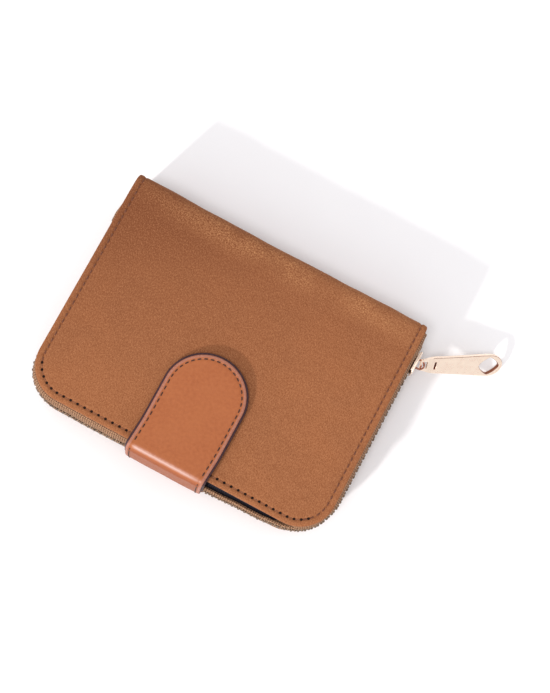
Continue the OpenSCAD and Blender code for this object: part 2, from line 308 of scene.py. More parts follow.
def metal_mat(name, base, rough=0.2, space="OBJ", wear=0.5, dirt=None, brush=1.0):
    """Plated metal: faint brushing, smudges, rubbed spots."""
    k = Mat(name, space)
    smudge = k.noise(0.5, 3.0, 0.6, 0.5)
    micro = k.noise(2.4, 3.0, 0.7, vec=k.stretch(1.0, 6.0, 6.0))
    r, g, b = base
    c = k.ramp(smudge, [(0.3, lin(r - 4, g - 5, b - 5)), (0.7, lin(min(r + 3, 255), min(g + 3, 255), min(b + 3, 255)))])
    if dirt:
        d = k.noise(1.6, 3.0, 0.6)
        c = k.mix(k.range(d, 0.50, 0.66, 0.0, wear), c, dirt)
    k.link(c, "Base Color")
    k.set(metal=1.0)
    k.link(k.range(smudge, 0.3, 0.7, rough * 0.9, rough * 1.15), "Roughness")
    k.bump(k.math("ADD", k.math("MULTIPLY", micro, 0.3 * brush), k.math("MULTIPLY", smudge, 0.4)), 0.08, 0.04)
    return k.m


def thread_mat(name, base):
    k = Mat(name, "OBJ")
    ply = k.wave(1.1, "DIAGONAL", 0.7)
    n = k.noise(3.0, 3.0, 0.6)
    r, g, b = base
    c = k.ramp(ply, [(0.2, lin(r - 18, g - 12, b - 10)), (0.8, lin(r + 16, g + 13, b + 11))])
    k.link(c, "Base Color")
    k.set(rough=0.7, spec=0.25, sheen=0.2)
    k.bump(k.math("ADD", ply, n), 0.6, 0.06)
    return k.m


def fibre_mat(name, base):
    k = Mat(name, "OBJ")
    n = k.noise(0.9, 5.0, 0.7)
    s = k.noise(2.4, 4.0, 0.7, vec=k.stretch(1, 4, 1, 0.4))
    r, g, b = base
    c = k.ramp(n, [(0.3, lin(r - 16, g - 16, b - 16)), (0.7, lin(r + 12, g + 12, b + 10))])
    c = k.mix(k.range(s, 0.55, 0.75, 0.0, 0.5), c, lin(r - 40, g - 42, b - 44))
    k.link(c, "Base Color")
    k.set(rough=0.9, spec=0.2)
    k.bump(k.math("ADD", n, s), 0.6, 0.12)
    return k.m


def film_mat(name):
    """Clear soft film: nearly invisible, faint smudges and long scratches."""
    k = Mat(name)
    n = k.noise(0.04, 2.0, 0.5, 0.8)
    s = k.noise(0.5, 3.0, 0.6, vec=k.stretch(0.2, 2.0, 1, 0.6))
    c = k.ramp(n, [(0.3, lin(226, 230, 232)), (0.7, lin(240, 243, 245))])
    k.link(c, "Base Color")
    k.set(ior=1.46, alpha=0.26, spec=0.6, coat=0.6, coat_rough=0.05)
    k.link(k.range(s, 0.45, 0.75, 0.10, 0.20), "Roughness")
    k.bump(n, 0.04, 0.4)
    return k.m


SUEDE = suede_mat("suede", (154, 98, 64), spine_from=77.5)
SUEDE_IN = suede_mat("suede_pocket", (148, 94, 62))
LEATHER = leather_mat("tab_leather", (160, 86, 38), crease=42.9)
LEATHER_IN = leather_mat("pocket_leather", (160, 94, 60), rough=0.5, coat=0.05)
TAB_LINING = suede_mat("tab_lining_suede", (112, 66, 52))
EDGE = edge_mat("tab_edge_paint", (166, 106, 84), 0.5)
# dark edge paint on the tab's lower edges; on the lining's rim the same colour is painted shade round the tab
EDGE_DARK_AND_SHADE = edge_mat("tab_edge_dark_and_shade", (62, 30, 36), 0.55)
CUT = edge_mat("suede_cut_edge", (150, 98, 70), 0.8)
TAPE = weave_mat("zip_tape_cloth", lin(84, 54, 38), lin(178, 138, 106), 0.85, flecks=0.85)
# painted shade: near-black cloth for the gap behind the cover's edge
TAPE_GAP_SHADE = weave_mat("zip_tape_gap_shade", lin(20, 18, 26), lin(44, 40, 50), 0.8, flecks=0.1)
LINING = weave_mat("lining_twill", lin(88, 56, 38), lin(122, 82, 58), 0.5, twill=True, rough=0.6,
                   flecks=0.05, strength=0.5)
# thread_brown is also the plain seam thread; on the cover's sides it is painted shade in the stitch groove, and the
# zip-edge stitches get a paler copy as painted light
THREAD = thread_mat("thread_brown", (104, 56, 36))
THREAD_PALE_LIT = thread_mat("thread_pale_lit", (132, 80, 52))
THREAD_TAB = thread_mat("thread_tab", (70, 34, 20))
# painted shade: near-black discs stand in for the shade inside the stitch holes
HOLE = fibre_mat("stitch_hole", (30, 12, 8))
GOLD = metal_mat("rose_gold", (255, 233, 214), 0.28, wear=0.0, dirt=lin(240, 204, 182))
# painted shade: a darker rose gold for the puller's hole and slot walls and one edge bevel
GOLD_SHADE = metal_mat("rose_gold_shade", (150, 96, 74), 0.3, wear=0.5, dirt=lin(96, 52, 40))
# painted shade: the bail is the same rose gold, coloured darker as if in shade
GOLD_BAIL_SHADE = metal_mat("rose_gold_bail_shade", (170, 112, 92), 0.26, wear=0.35, dirt=lin(120, 70, 54))
TEETH = metal_mat("zip_teeth_metal", (128, 108, 90), 0.36, wear=0.85, dirt=lin(58, 48, 44))
STEEL = metal_mat("snap_metal", (214, 190, 172), 0.26, wear=0.3, dirt=lin(150, 120, 104))
BOARD = fibre_mat("grey_board", (158, 152, 142))
FILM = film_mat("clear_film")

# ------------------------------------------------------------- mesh helpers


def build(name, verts, faces, mats, uv=None, fmat=None, flat=(), merge=True, fill=False,
          smooth=True):
    """verts in mm. fmat: material index per face. flat: face indices with flat shading."""
    me = bpy.data.meshes.new(name)
    v = np.asarray(verts, float) * MM
    me.from_pydata(v.tolist(), [], [list(map(int, f)) for f in faces])
    for m in mats:
        me.materials.append(m)
    if fmat is not None:
        me.polygons.foreach_set("material_index", np.asarray(fmat, np.int32))
    me.polygons.foreach_set("use_smooth", np.full(len(me.polygons), smooth))
    for f in flat:
        me.polygons[f].use_smooth = False
    if uv is None:
        uv = np.asarray(verts, float)[:, :2]
    lay = me.uv_layers.new(name="UVMap")
    idx = np.zeros(len(me.loops), np.int32)
    me.loops.foreach_get("vertex_index", idx)
    lay.data.foreach_set("uv", np.asarray(uv, np.float32)[idx].ravel())
    o = bpy.data.objects.new(name, me)
    bpy.context.scene.collection.objects.link(o)
    bm = bmesh.new()
    bm.from_mesh(me)
    if merge:
        bmesh.ops.remove_doubles(bm, verts=bm.verts, dist=2e-6)
        bmesh.ops.dissolve_degenerate(bm, edges=bm.edges, dist=1e-7)
    if fill:
        edges = [e for e in bm.edges if e.is_boundary]
        got = bmesh.ops.holes_fill(bm, edges=edges, sides=0)
        for f in got["faces"]:
            f.smooth = False
    bmesh.ops.recalc_face_normals(bm, faces=bm.faces)
    bm.to_mesh(me)
    bm.free()
    me.update()
    return o


def grid_faces(nu, nv, off=0, close_u=False, close_v=False):
    f = []
    for i in range(nu if close_u else nu - 1):
        for j in range(nv if close_v else nv - 1):
            a, b = i, (i + 1) % nu
            c, d = j, (j + 1) % nv
            f.append((off + a * nv + c, off + b * nv + c, off + b * nv + d, off + a * nv + d))
    return f


def join(name, objs):
    """Several meshes as one object, by mesh data, keeping materials and UVs."""
    bm = bmesh.new()
    mats = []
    me = bpy.data.meshes.new(name)
    tmp = []
    for o in objs:
        m = o.data.copy()
        m.transform(o.matrix_world)
        remap = []
        for x in m.materials:
            if x not in mats:
                mats.append(x)
            remap.append(mats.index(x))
        ids = np.zeros(len(m.polygons), np.int32)
        m.polygons.foreach_get("material_index", ids)
        if len(remap):
            m.polygons.foreach_set("material_index", np.array(remap, np.int32)[ids])
        tmp.append(m)
        bm.from_mesh(m)
    for x in mats:
        me.materials.append(x)
    bm.to_mesh(me)
    bm.free()
    for o in objs:
        bpy.data.objects.remove(o)
    o = bpy.data.objects.new(name, me)
    bpy.context.scene.collection.objects.link(o)
    return o


def sharp_by_angle(o, deg=35):
    me = o.data
    bm = bmesh.new()
    bm.from_mesh(me)
    lim = math.radians(deg)
    for e in bm.edges:
        e.smooth = not (len(e.link_faces) == 2 and e.calc_face_angle(0) > lim)
    for f in bm.faces:
        f.smooth = True
    bm.to_mesh(me)
    bm.free()


def smoothstep(a, b, x):
    t = np.clip((np.asarray(x, float) - a) / (b - a), 0, 1)
    return t * t * (3 - 2 * t)


def catmull(pts, step=0.25):
    """Smooth curve through the points."""
    p = np.array(pts, float)
    p = np.vstack([2 * p[0] - p[1], p, 2 * p[-1] - p[-2]])
    out = []
    for i in range(1, len(p) - 2):
        n = max(2, int(np.linalg.norm(p[i + 1] - p[i]) / step))
        t = np.linspace(0, 1, n, endpoint=False)[:, None]
        a, b, c, d = p[i - 1], p[i], p[i + 1], p[i + 2]
        out.append(0.5 * (2 * b + (c - a) * t + (2 * a - 5 * b + 4 * c - d) * t**2 + (3 * b - a - 3 * c + d) * t**3))
    out.append(p[-2][None])
    return np.vstack(out)


class Prof:
    """Outer line of a bent sheet in (y, z), by length from its start. side +1: the outer side is on the left of travel."""

    def __init__(self, pts, side=1.0):
        p = np.array(pts, float)
        keep = np.r_[True, np.linalg.norm(np.diff(p, axis=0), axis=1) > 1e-6]
        p = p[keep]
        d = np.linalg.norm(np.diff(p, axis=0), axis=1)
        self.s = np.r_[0, np.cumsum(d)]
        self.p = p
        t = np.gradient(p, self.s, axis=0)
        t /= np.linalg.norm(t, axis=1)[:, None]
        self.n = np.c_[-t[:, 1], t[:, 0]] * side
        self.length = self.s[-1]

    def at(self, v, h):
        v = np.asarray(v, float)
        y = np.interp(v, self.s, self.p[:, 0]) + np.interp(v, self.s, self.n[:, 0]) * h
        z = np.interp(v, self.s, self.p[:, 1]) + np.interp(v, self.s, self.n[:, 1]) * h
        return y, z


def arc(cy, cz, r, a0, a1, n=14):
    a = np.radians(np.linspace(a0, a1, n))
    return [(cy + r * math.cos(x), cz + r * math.sin(x)) for x in a]


class UPath:
    """Samples along a U-shaped edge: up one side, round two corners, up the other."""

    def __init__(self, half, r, length, step=0.65, narc=None, nbot=None):
        self.half, self.r, self.length = half, r, length
        ns = max(2, int(round((length - r) / step)))
        na = narc or max(4, int(round((r - 2.5) * math.pi / 2 / step)))
        nb = (nbot if nbot is not None else int(round(2 * (half - r) / step)))
        self.ns, self.na, self.nb = ns, na, nb
        base, dirs = [], []
        for v in np.linspace(length, r, ns + 1):
            base.append((-half, v)); dirs.append((1, 0))
        for a in np.radians(np.linspace(180, 270, na + 1))[1:]:
            base.append((-(half - r) + r * math.cos(a), r + r * math.sin(a)))
            dirs.append((-math.cos(a), -math.sin(a)))
        if nb:
            for x in np.linspace(-(half - r), half - r, nb + 1)[1:]:
                base.append((x, 0)); dirs.append((0, 1))
        for a in np.radians(np.linspace(270, 360, na + 1))[1:]:
            base.append((half - r + r * math.cos(a), r + r * math.sin(a)))
            dirs.append((-math.cos(a), -math.sin(a)))
        for v in np.linspace(r, length, ns + 1)[1:]:
            base.append((half, v)); dirs.append((-1, 0))
        self.base, self.dir = np.array(base), np.array(dirs)
        self.n = len(base)
        d = np.linalg.norm(np.diff(self.base, axis=0), axis=1)
        self.s = np.r_[0, np.cumsum(d)]

    def at(self, t):
        return self.base + self.dir * t

    def xs(self):
        return np.linspace(-(self.half - self.r), self.half - self.r, self.nb + 1)

    def vs(self):
        return np.linspace(self.length, self.r, self.ns + 1)


def plate(name, up, rings, top, bot, place, mats, ring_mat=None, inner=True, fill=True):
    """A closed sheet on a U-shaped plan. rings: (inset, height, share of top's relief) from the underside, round the edge, to the top side.
    place(x, v, h) bends the flat sheet into the model."""
    V, F, UV, FM = [], [], [], []
    ring = []
    for t, h, wt in rings:
        q = up.at(t)
        hh = h + (top(q[:, 0], q[:, 1], t, np.arange(up.n)) * wt if wt else 0.0)
        ring.append(np.c_[q, np.broadcast_to(hh, (up.n,))])
    R = np.stack(ring, 1)
    nr = R.shape[1]
    V.append(R.reshape(-1, 3))
    F += grid_faces(up.n, nr)
    rm = ring_mat or [0] * (nr - 1)
    FM += [rm[j] for _ in range(up.n - 1) for j in range(nr - 1)]
    off = up.n * nr
    if inner and up.nb:
        X, Y = np.meshgrid(up.xs(), up.vs(), indexing="ij")
        for which in (0, 1):
            if which:
                H = rings[-1][1] + top(X.ravel(), Y.ravel(), up.r, None) * rings[-1][2]
            else:
                H = rings[0][1] + np.zeros(X.size)
            V.append(np.c_[X.ravel(), Y.ravel(), H])
            f = grid_faces(X.shape[0], X.shape[1], off)
            F += f
            FM += [rm[-1] if which else rm[0]] * len(f)
            off += X.size
    P = np.vstack(V)
    uv = P[:, :2].copy()
    x, y, z = place(P[:, 0], P[:, 1], P[:, 2])
    return build(name, np.c_[x, y, z], F, mats, uv=uv, fmat=FM, fill=fill)


def sweep(name, cross, place, vs, mats, cmat=None, caps=True, uv0=0.0):
    """cross: closed loop of (x, h); swept along v and bent by place."""
    c = np.array(cross, float)
    n, m = len(vs), len(c)
    X = np.tile(c[:, 0], n)
    H = np.tile(c[:, 1], n)
    S = np.repeat(vs, m)
    x, y, z = place(X, S, H)
    F = grid_faces(n, m, close_v=True)
    FM = [(cmat[j] if cmat else 0) for _ in range(n - 1) for j in range(m)]
    flat = []
    if caps:
        flat = [len(F), len(F) + 1]
        F += [tuple(range(m)), tuple((n - 1) * m + k for k in range(m))]
        FM += [FM[0], FM[0]]
    return build(name, np.c_[x, y, z], F, mats, uv=np.c_[X, S + uv0], fmat=FM, flat=flat, merge=False)


def frame_at(t, n):
    t = t / np.linalg.norm(t)
    n = n - t * (n @ t)
    n = n / np.linalg.norm(n)
    return t, n, np.cross(n, t)


def stitches(name, runs, rad=0.28, hole=0.42, mats=None, gap=0.14, dip=0.12, slant=0.0, rise=0.35):
    """runs: lists of (hole positions, normals). One thread lies between each two holes."""
    V, F, FM = [], [], []
    k = 8
    ring = [(0.0, 0.45), (0.10, 0.85), (0.3, 1.0), (0.7, 1.0), (0.9, 0.85), (1.0, 0.45)]
    for P, N in runs:
        P, N = np.asarray(P, float), np.asarray(N, float)
        for a, b, na, nb in zip(P[:-1], P[1:], N[:-1], N[1:]):
            t, n, s = frame_at(b - a, na + nb)
            a2, b2 = a + (b - a) * gap - s * slant, b - (b - a) * gap + s * slant
            off = len(V)
            for u, w in ring:
                c = a2 + (b2 - a2) * u + n * (rad * rise - dip * (abs(u - 0.5) * 2) ** 3)
                for j in range(k):
                    an = 2 * math.pi * j / k
                    V.append(c + (s * math.cos(an) + n * math.sin(an) * 0.8) * rad * w)
            m = len(ring)
            for i in range(m - 1):
                for j in range(k):
                    F.append((off + i * k + j, off + i * k + (j + 1) % k, off + (i + 1) * k + (j + 1) % k, off + (i + 1) * k + j))
                    FM.append(0)
            F.append(tuple(off + j for j in range(k)))
            F.append(tuple(off + (m - 1) * k + j for j in range(k)))
            FM += [0, 0]
        # painted shade: a near-black disc in each stitch hole
        if hole:
            for i, (p, n) in enumerate(zip(P, N)):
                q = P[min(i + 1, len(P) - 1)] - P[max(i - 1, 0)]
                t, n, s = frame_at(q, n)
                off = len(V)
                V.append(p - n * 0.10)
                for rr, hh in ((hole * 0.7, -0.05), (hole, 0.03)):
                    for j in range(10):
                        an = 2 * math.pi * j / 10
                        V.append(p + (s * math.cos(an) + t * math.sin(an)) * rr + n * hh)
                for j in range(10):
                    j2 = (j + 1) % 10
                    F.append((off, off + 1 + j, off + 1 + j2)); FM.append(1)
                    F.append((off + 1 + j, off + 11 + j, off + 11 + j2, off + 1 + j2)); FM.append(1)
    return build(name, V, F, mats or [THREAD, HOLE], fmat=FM, merge=False)


def lathe(name, prof, cx, cy, mats, n=56):
    p = np.array(prof, float)
    a = np.linspace(0, 2 * math.pi, n, endpoint=False)
    V = [(cx + r * math.cos(t), cy + r * math.sin(t), z) for t in a for r, z in p]
    o = build(name, V, grid_faces(n, len(p), close_u=True), mats)
    sharp_by_angle(o, 40)
    return o


def curve_plate(name, loops, thick, bevel, matrix, mats, res=3):
    """A flat plate with rounded edges: the first loop is its outline, the others are holes. In mm."""
    cu = bpy.data.curves.new(name + "_c", "CURVE")
    cu.dimensions = "2D"
    cu.fill_mode = "BOTH"
    cu.extrude = (thick / 2 - bevel)
    cu.bevel_depth = bevel
    cu.bevel_resolution = res
    cu.offset = -bevel
    for k, lp in enumerate(loops):
        p = np.array(lp, float)
        area = 0.5 * np.sum(p[:, 0] * np.roll(p[:, 1], -1) - np.roll(p[:, 0], -1) * p[:, 1])
        if (area > 0) != (k == 0):
            p = p[::-1]
        sp = cu.splines.new("POLY")
        sp.points.add(len(p) - 1)
        sp.points.foreach_set("co", np.c_[p, np.zeros(len(p)), np.ones(len(p))].astype(np.float32).ravel())
        sp.use_cyclic_u = True
    co = bpy.data.objects.new(name + "_c", cu)
    bpy.context.scene.collection.objects.link(co)
    bpy.context.view_layer.update()
    dg = bpy.context.evaluated_depsgraph_get()
    me = bpy.data.meshes.new_from_object(co.evaluated_get(dg))
    bpy.data.objects.remove(co)
    bpy.data.curves.remove(cu)
    me.name = name
    bm = bmesh.new()
    bm.from_mesh(me)
    bmesh.ops.remove_doubles(bm, verts=bm.verts, dist=1e-4)
    bmesh.ops.recalc_face_normals(bm, faces=bm.faces)
    for f in bm.faces:
        f.smooth = True
    for e in bm.edges:
        if len(e.link_faces) == 2:
            za = [abs(f.normal.z) > 0.995 for f in e.link_faces]
            e.smooth = za[0] == za[1] and e.calc_face_angle(0) < math.radians(50)
    bm.to_mesh(me)
    bm.free()
    me.materials.clear()
    for m in mats:
        me.materials.append(m)
    me.transform(Matrix.Scale(MM, 4) @ matrix)
    if not me.uv_layers:
        me.uv_layers.new(name="UVMap")
    o = bpy.data.objects.new(name, me)
    bpy.context.scene.collection.objects.link(o)
    return o


def bevelled_box(name, lo, hi, bev, mats, seg=2, taper=None):
    bm = bmesh.new()
    bmesh.ops.create_cube(bm, size=1.0)
    lo, hi = np.array(lo, float), np.array(hi, float)
    for v in bm.verts:
        c = np.array(v.co) + 0.5
        p = lo + (hi - lo) * c
        if taper is not None:
            p = taper(p)
        v.co = Vector(p * MM)
    bmesh.ops.bevel(bm, geom=list(bm.edges), offset=bev * MM, segments=seg, profile=0.6, affect="EDGES")
    bmesh.ops.recalc_face_normals(bm, faces=bm.faces)
    me = bpy.data.meshes.new(name)
    bm.to_mesh(me)
    bm.free()
    for m in mats:
        me.materials.append(m)
    me.uv_layers.new(name="UVMap")
    o = bpy.data.objects.new(name, me)
    bpy.context.scene.collection.objects.link(o)
    sharp_by_angle(o, 30)
    return o


# --------------------------------------------------------- suede outer skin
HX, Y0, Y1, H = 60.0, -43.5, 43.5, 24.0
YS = 45.4                                    # the suede stands off a little at the spine
ZM = H / 2
skin_line = [(Y0, H)] + [(y, H) for y in np.linspace(Y0 + 1, 27, 50)]
skin_line += list(map(tuple, catmull([(28.5, H), (33.0, H - 0.03), (37.0, H - 0.06), (40.2, H - 0.18), (42.7, H - 0.55), (44.2, H - 1.35), (45.0, H - 2.7), (45.35, H - 4.8), (YS, H - 7.4), (YS, ZM + 3)], 0.3)))
skin_line += [(YS, z) for z in np.linspace(ZM + 2.6, ZM, 7)]
SKIN = Prof(skin_line)
BL_FRONT = ((0, 43.6, 20.0), (0, 39.9, 23.7))
BL_BACK = ((0, 39.9, 0.3), (0, 43.6, 4.0))


def waist(x, v, total):
    """The spine is drawn in a little in the middle, and its ends are a little narrower."""
    k = smoothstep(total - 34, total - 9, v)
    x2 = x * (1 - 0.005 * smoothstep(total - 15, total - 6, v))
    dy = -0.95 * k * (1 - (x / HX) ** 2) - 0.06 * k * np.sin(x * 0.11 + 1.0) * (1 - (x / HX) ** 2)
    return x2, dy


def skin_place(mirror):
    def f(x, v, h):
        y, z = SKIN.at(v, h)
        x2, dy = waist(x, v, SKIN.length)
        y = y + dy
        return x2, y, (H - z if mirror else z)
    return f


def relief(sign):
    def f(x, v, t, i):
        edge = np.minimum(HX - np.abs(x), v)
        crown = 0.42 * (sign > 0) * smoothstep(2.6, 17, np.minimum(edge, SKIN.length - v + 8))
        und = 0.10 * np.sin(x * 0.075 + 0.8 * sign) * np.sin(v * 0.085 + 0.5) + 0.06 * np.sin(x * 0.19 + v * 0.13)
        und += 0.035 * np.sin(x * 0.41 - v * 0.23 + 2.0) + 0.03 * np.sin(v * 0.5 + x * 0.08)
        und *= smoothstep(3.0, 9.0, edge)
        # slight wrinkles where the suede turns over the spine
        near = smoothstep(SKIN.length - 24, SKIN.length - 15, v)
        wr = near * (0.035 * np.sin(x * 0.31 + 1.3 * np.sin(v * 0.3)) * np.sin(v * 0.6 + x * 0.07) + 0.02 * np.sin(x * 0.55 + v * 0.8))
        wr *= smoothstep(1.5, 6.0, HX - np.abs(x))
        h = crown + und + wr - 0.16 * (sign < 0) * smoothstep(3.0, 9.0, edge)
        if np.isscalar(t) and t < 5:
            h = h - 0.30 * math.exp(-((t - 2.5) / 0.42) ** 2)
            h = h + 0.10 * (sign > 0) * math.exp(-((t - 1.45) / 0.5) ** 2) - 0.06 * (1 - smoothstep(1.9, 2.6, t))
            if i is not None:
                pit = (np.asarray(i) % 4 == 2) & (v < 90.0)
                h = h - pit * 0.34 * math.exp(-((t - 2.5) / 0.30) ** 2)
            # the rim is a little uneven
            h = h + 0.05 * (np.sin(np.asarray(x) * 0.9 + v * 0.7) - (sign < 0)) * (1 - smoothstep(1.5, 2.6, t))
        return h
    return f


SK_UP = UPath(HX, 14.0, SKIN.length, 0.65, narc=28, nbot=130)
T = 1.4
sk_rings = [(14, -T, 0), (9, -T, 0), (4.5, -T, 0), (2.0, -T, 0), (0.9, -T + 0.02, 0), (0.4, -T + 0.1, 0),
            (0.12, -T + 0.3, 0), (0.0, -T + 0.55, 0), (0.03, -0.52, 0.3), (0.16, -0.25, 0.7), (0.42, -0.08, 1), (0.8, -0.01, 1),
            (1.3, 0, 1), (1.75, 0, 1), (2.1, 0, 1), (2.3, 0, 1), (2.5, 0, 1), (2.7, 0, 1), (2.95, 0, 1),
            (3.4, 0, 1), (4.1, 0, 1), (5.2, 0, 1), (6.8, 0, 1), (8.8, 0, 1), (11.2, 0, 1), (14, 0, 1)]
sk_mat = [1 if k in (5, 6, 7) else 0 for k in range(len(sk_rings) - 1)]
for side, nm, bl, bodies, nodes, mirror in (
    (1, "front_skin", BL_FRONT, ("spine", "front"), ("front_cover", "spine_panel"), False),
    (-1, "back_skin", BL_BACK, ("back", "spine"), ("back_cover",), True),
):
    rel = relief(side)
    place = skin_place(mirror)
    o = plate(nm, SK_UP, sk_rings, rel, None, place, [SUEDE, CUT], ring_mat=sk_mat)
    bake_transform(o)
    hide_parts(*nodes)
    # stitches, one hole at every fourth sample; they sit deepest along the zip edge
    q = SK_UP.at(2.5)
    word = "front" if side > 0 else "back"
    lo_i, hi_i = SK_UP.ns + SK_UP.na - 22, SK_UP.ns + SK_UP.na + SK_UP.nb + 10
    ids = [i for i in range(SK_UP.n) if i % 4 == 2 and q[i, 1] < 90.0]
    cut1 = [i for i in ids if i <= lo_i + 3]
    cut2 = [i for i in ids if lo_i - 1 <= i <= hi_i + 3]
    cut3 = [i for i in ids if i >= hi_i - 1]
    # painted light and shade: the side stitches take the darker thread, the zip-edge stitches the paler copy
    for part, groups, rad, hole, mats in (("side", [cut1, cut3], 0.27, 0.0, [THREAD, HOLE]), ("edge", [cut2], 0.22, 0.50, [THREAD_PALE_LIT, HOLE])):
        runs = []
        for g in groups:
            hh = np.array([rel(q[i, 0], q[i, 1], 2.5, np.array([i + 1]))[0] for i in g])
            P = np.c_[place(q[g, 0], q[g, 1], hh + (0.0 if part == "side" else 0.17))]
            P2 = np.c_[place(q[g, 0], q[g, 1], hh + 1.0)]
            runs.append((P, P2 - P))
        so = stitches(word + "_stitches_" + part, runs, rad=rad, hole=hole, mats=mats, gap=0.2, slant=0.06, rise=0.35 if part == "side" else -0.55)
        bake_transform(so)
        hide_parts(word + "_stitching")

# ------------------------------------------------------------------ linings
lin_line = [(Y0 + 0.5, H - 3.3)] + [(y, H - 3.3) for y in np.linspace(Y0 + 1.5, 39.9, 40)]
lin_line += arc(40.2, H - 4.6, 1.3, 90, 0, 9)
lin_line += [(41.5, z) for z in np.linspace(H - 5.0, ZM, 8)]
LIN = Prof(lin_line)
LIN_UP = UPath(59.5, 13.5, LIN.length, 1.6, narc=12, nbot=58)


def lin_place(mirror):
    def f(x, v, h):
        y, z = LIN.at(v, h)
        k = smoothstep(LIN.length - 14, LIN.length - 8, v)
        x2 = x * (1 - 0.045 * k)
        dy = -0.85 * smoothstep(LIN.length - 34, LIN.length - 9, v) * (1 - (x / HX) ** 2)
        return x2, y + dy, (H - z if mirror else z)
    return f


def lin_relief(x, v, t, i):
    e = smoothstep(0, 8, np.minimum(59.5 - np.abs(x), v))
    return e * (0.05 * np.sin(x * 0.21) * np.sin(v * 0.17) + 0.04 * np.sin(v * 0.9) * smoothstep(60, 85, v))


# h runs from the outer side (+0.6) to the side that shows inside (0)
lin_rings = [(13.5, 0.0, -1), (7, 0.0, -1), (1.2, 0.02, -1), (0.3, 0.06, 0), (0.0, 0.3, 0), (0.3, 0.54, 0), (3, 0.6, 0), (13.5, 0.6, 0)]
for mirror, nm, bl, bodies, nodes in (
    (False, "front_lining_cloth", BL_FRONT, ("spine", "front"), ("front_lining", "spine_lining")),
    (True, "back_lining_cloth", BL_BACK, ("back", "spine"), ("back_lining",)),
):
    V = []
    o = plate(nm, LIN_UP, [(a, b, 0) for a, b, c in lin_rings], lin_relief, None, lin_place(mirror), [LINING])
    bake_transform(o)
    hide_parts(*nodes)

# ----------------------------------------------------------------- zip tape
TAPE_UP = UPath(HX, 14.0, 85.8, 0.8, narc=30, nbot=116)


def gapmask(x, v):
    """Where the tape stands away from the front cover, right of the tab."""
    return smoothstep(12, 16, x) * (1 - smoothstep(45, 59, x)) * (1 - smoothstep(8, 15, v))


def sidemask(x, v):
    """Where the tape is pulled in under the cover, so that only the chain shows."""
    right = smoothstep(44, 56, x) * (1 - smoothstep(74, 80, v))
    left = smoothstep(50, 59.5, -x) * smoothstep(3, 15, v) * (1 - smoothstep(60, 72, v))
    return np.maximum(right, left)


def bulge(x, v):
    """How far the chain stands out beyond its drawn path."""
    b = gapmask(x, v) * (1.15 - 0.9 * smoothstep(14, 42, x))
    b = b + 0.12 * np.sin(x * 0.17 + 0.6) * (v < 6) * (x < 40)
    b = b - 1.0 * smoothstep(38, 50, x) * (1 - smoothstep(9, 17, v))
    b = b - 0.85 * smoothstep(50, 59, -x) * smoothstep(6, 16, v)
    return b


def tuck(x, v):
    return np.where(x < 0, 0.5 * smoothstep(70.5, 78.0, v), 0.12 * smoothstep(80.0, 85.0, v))


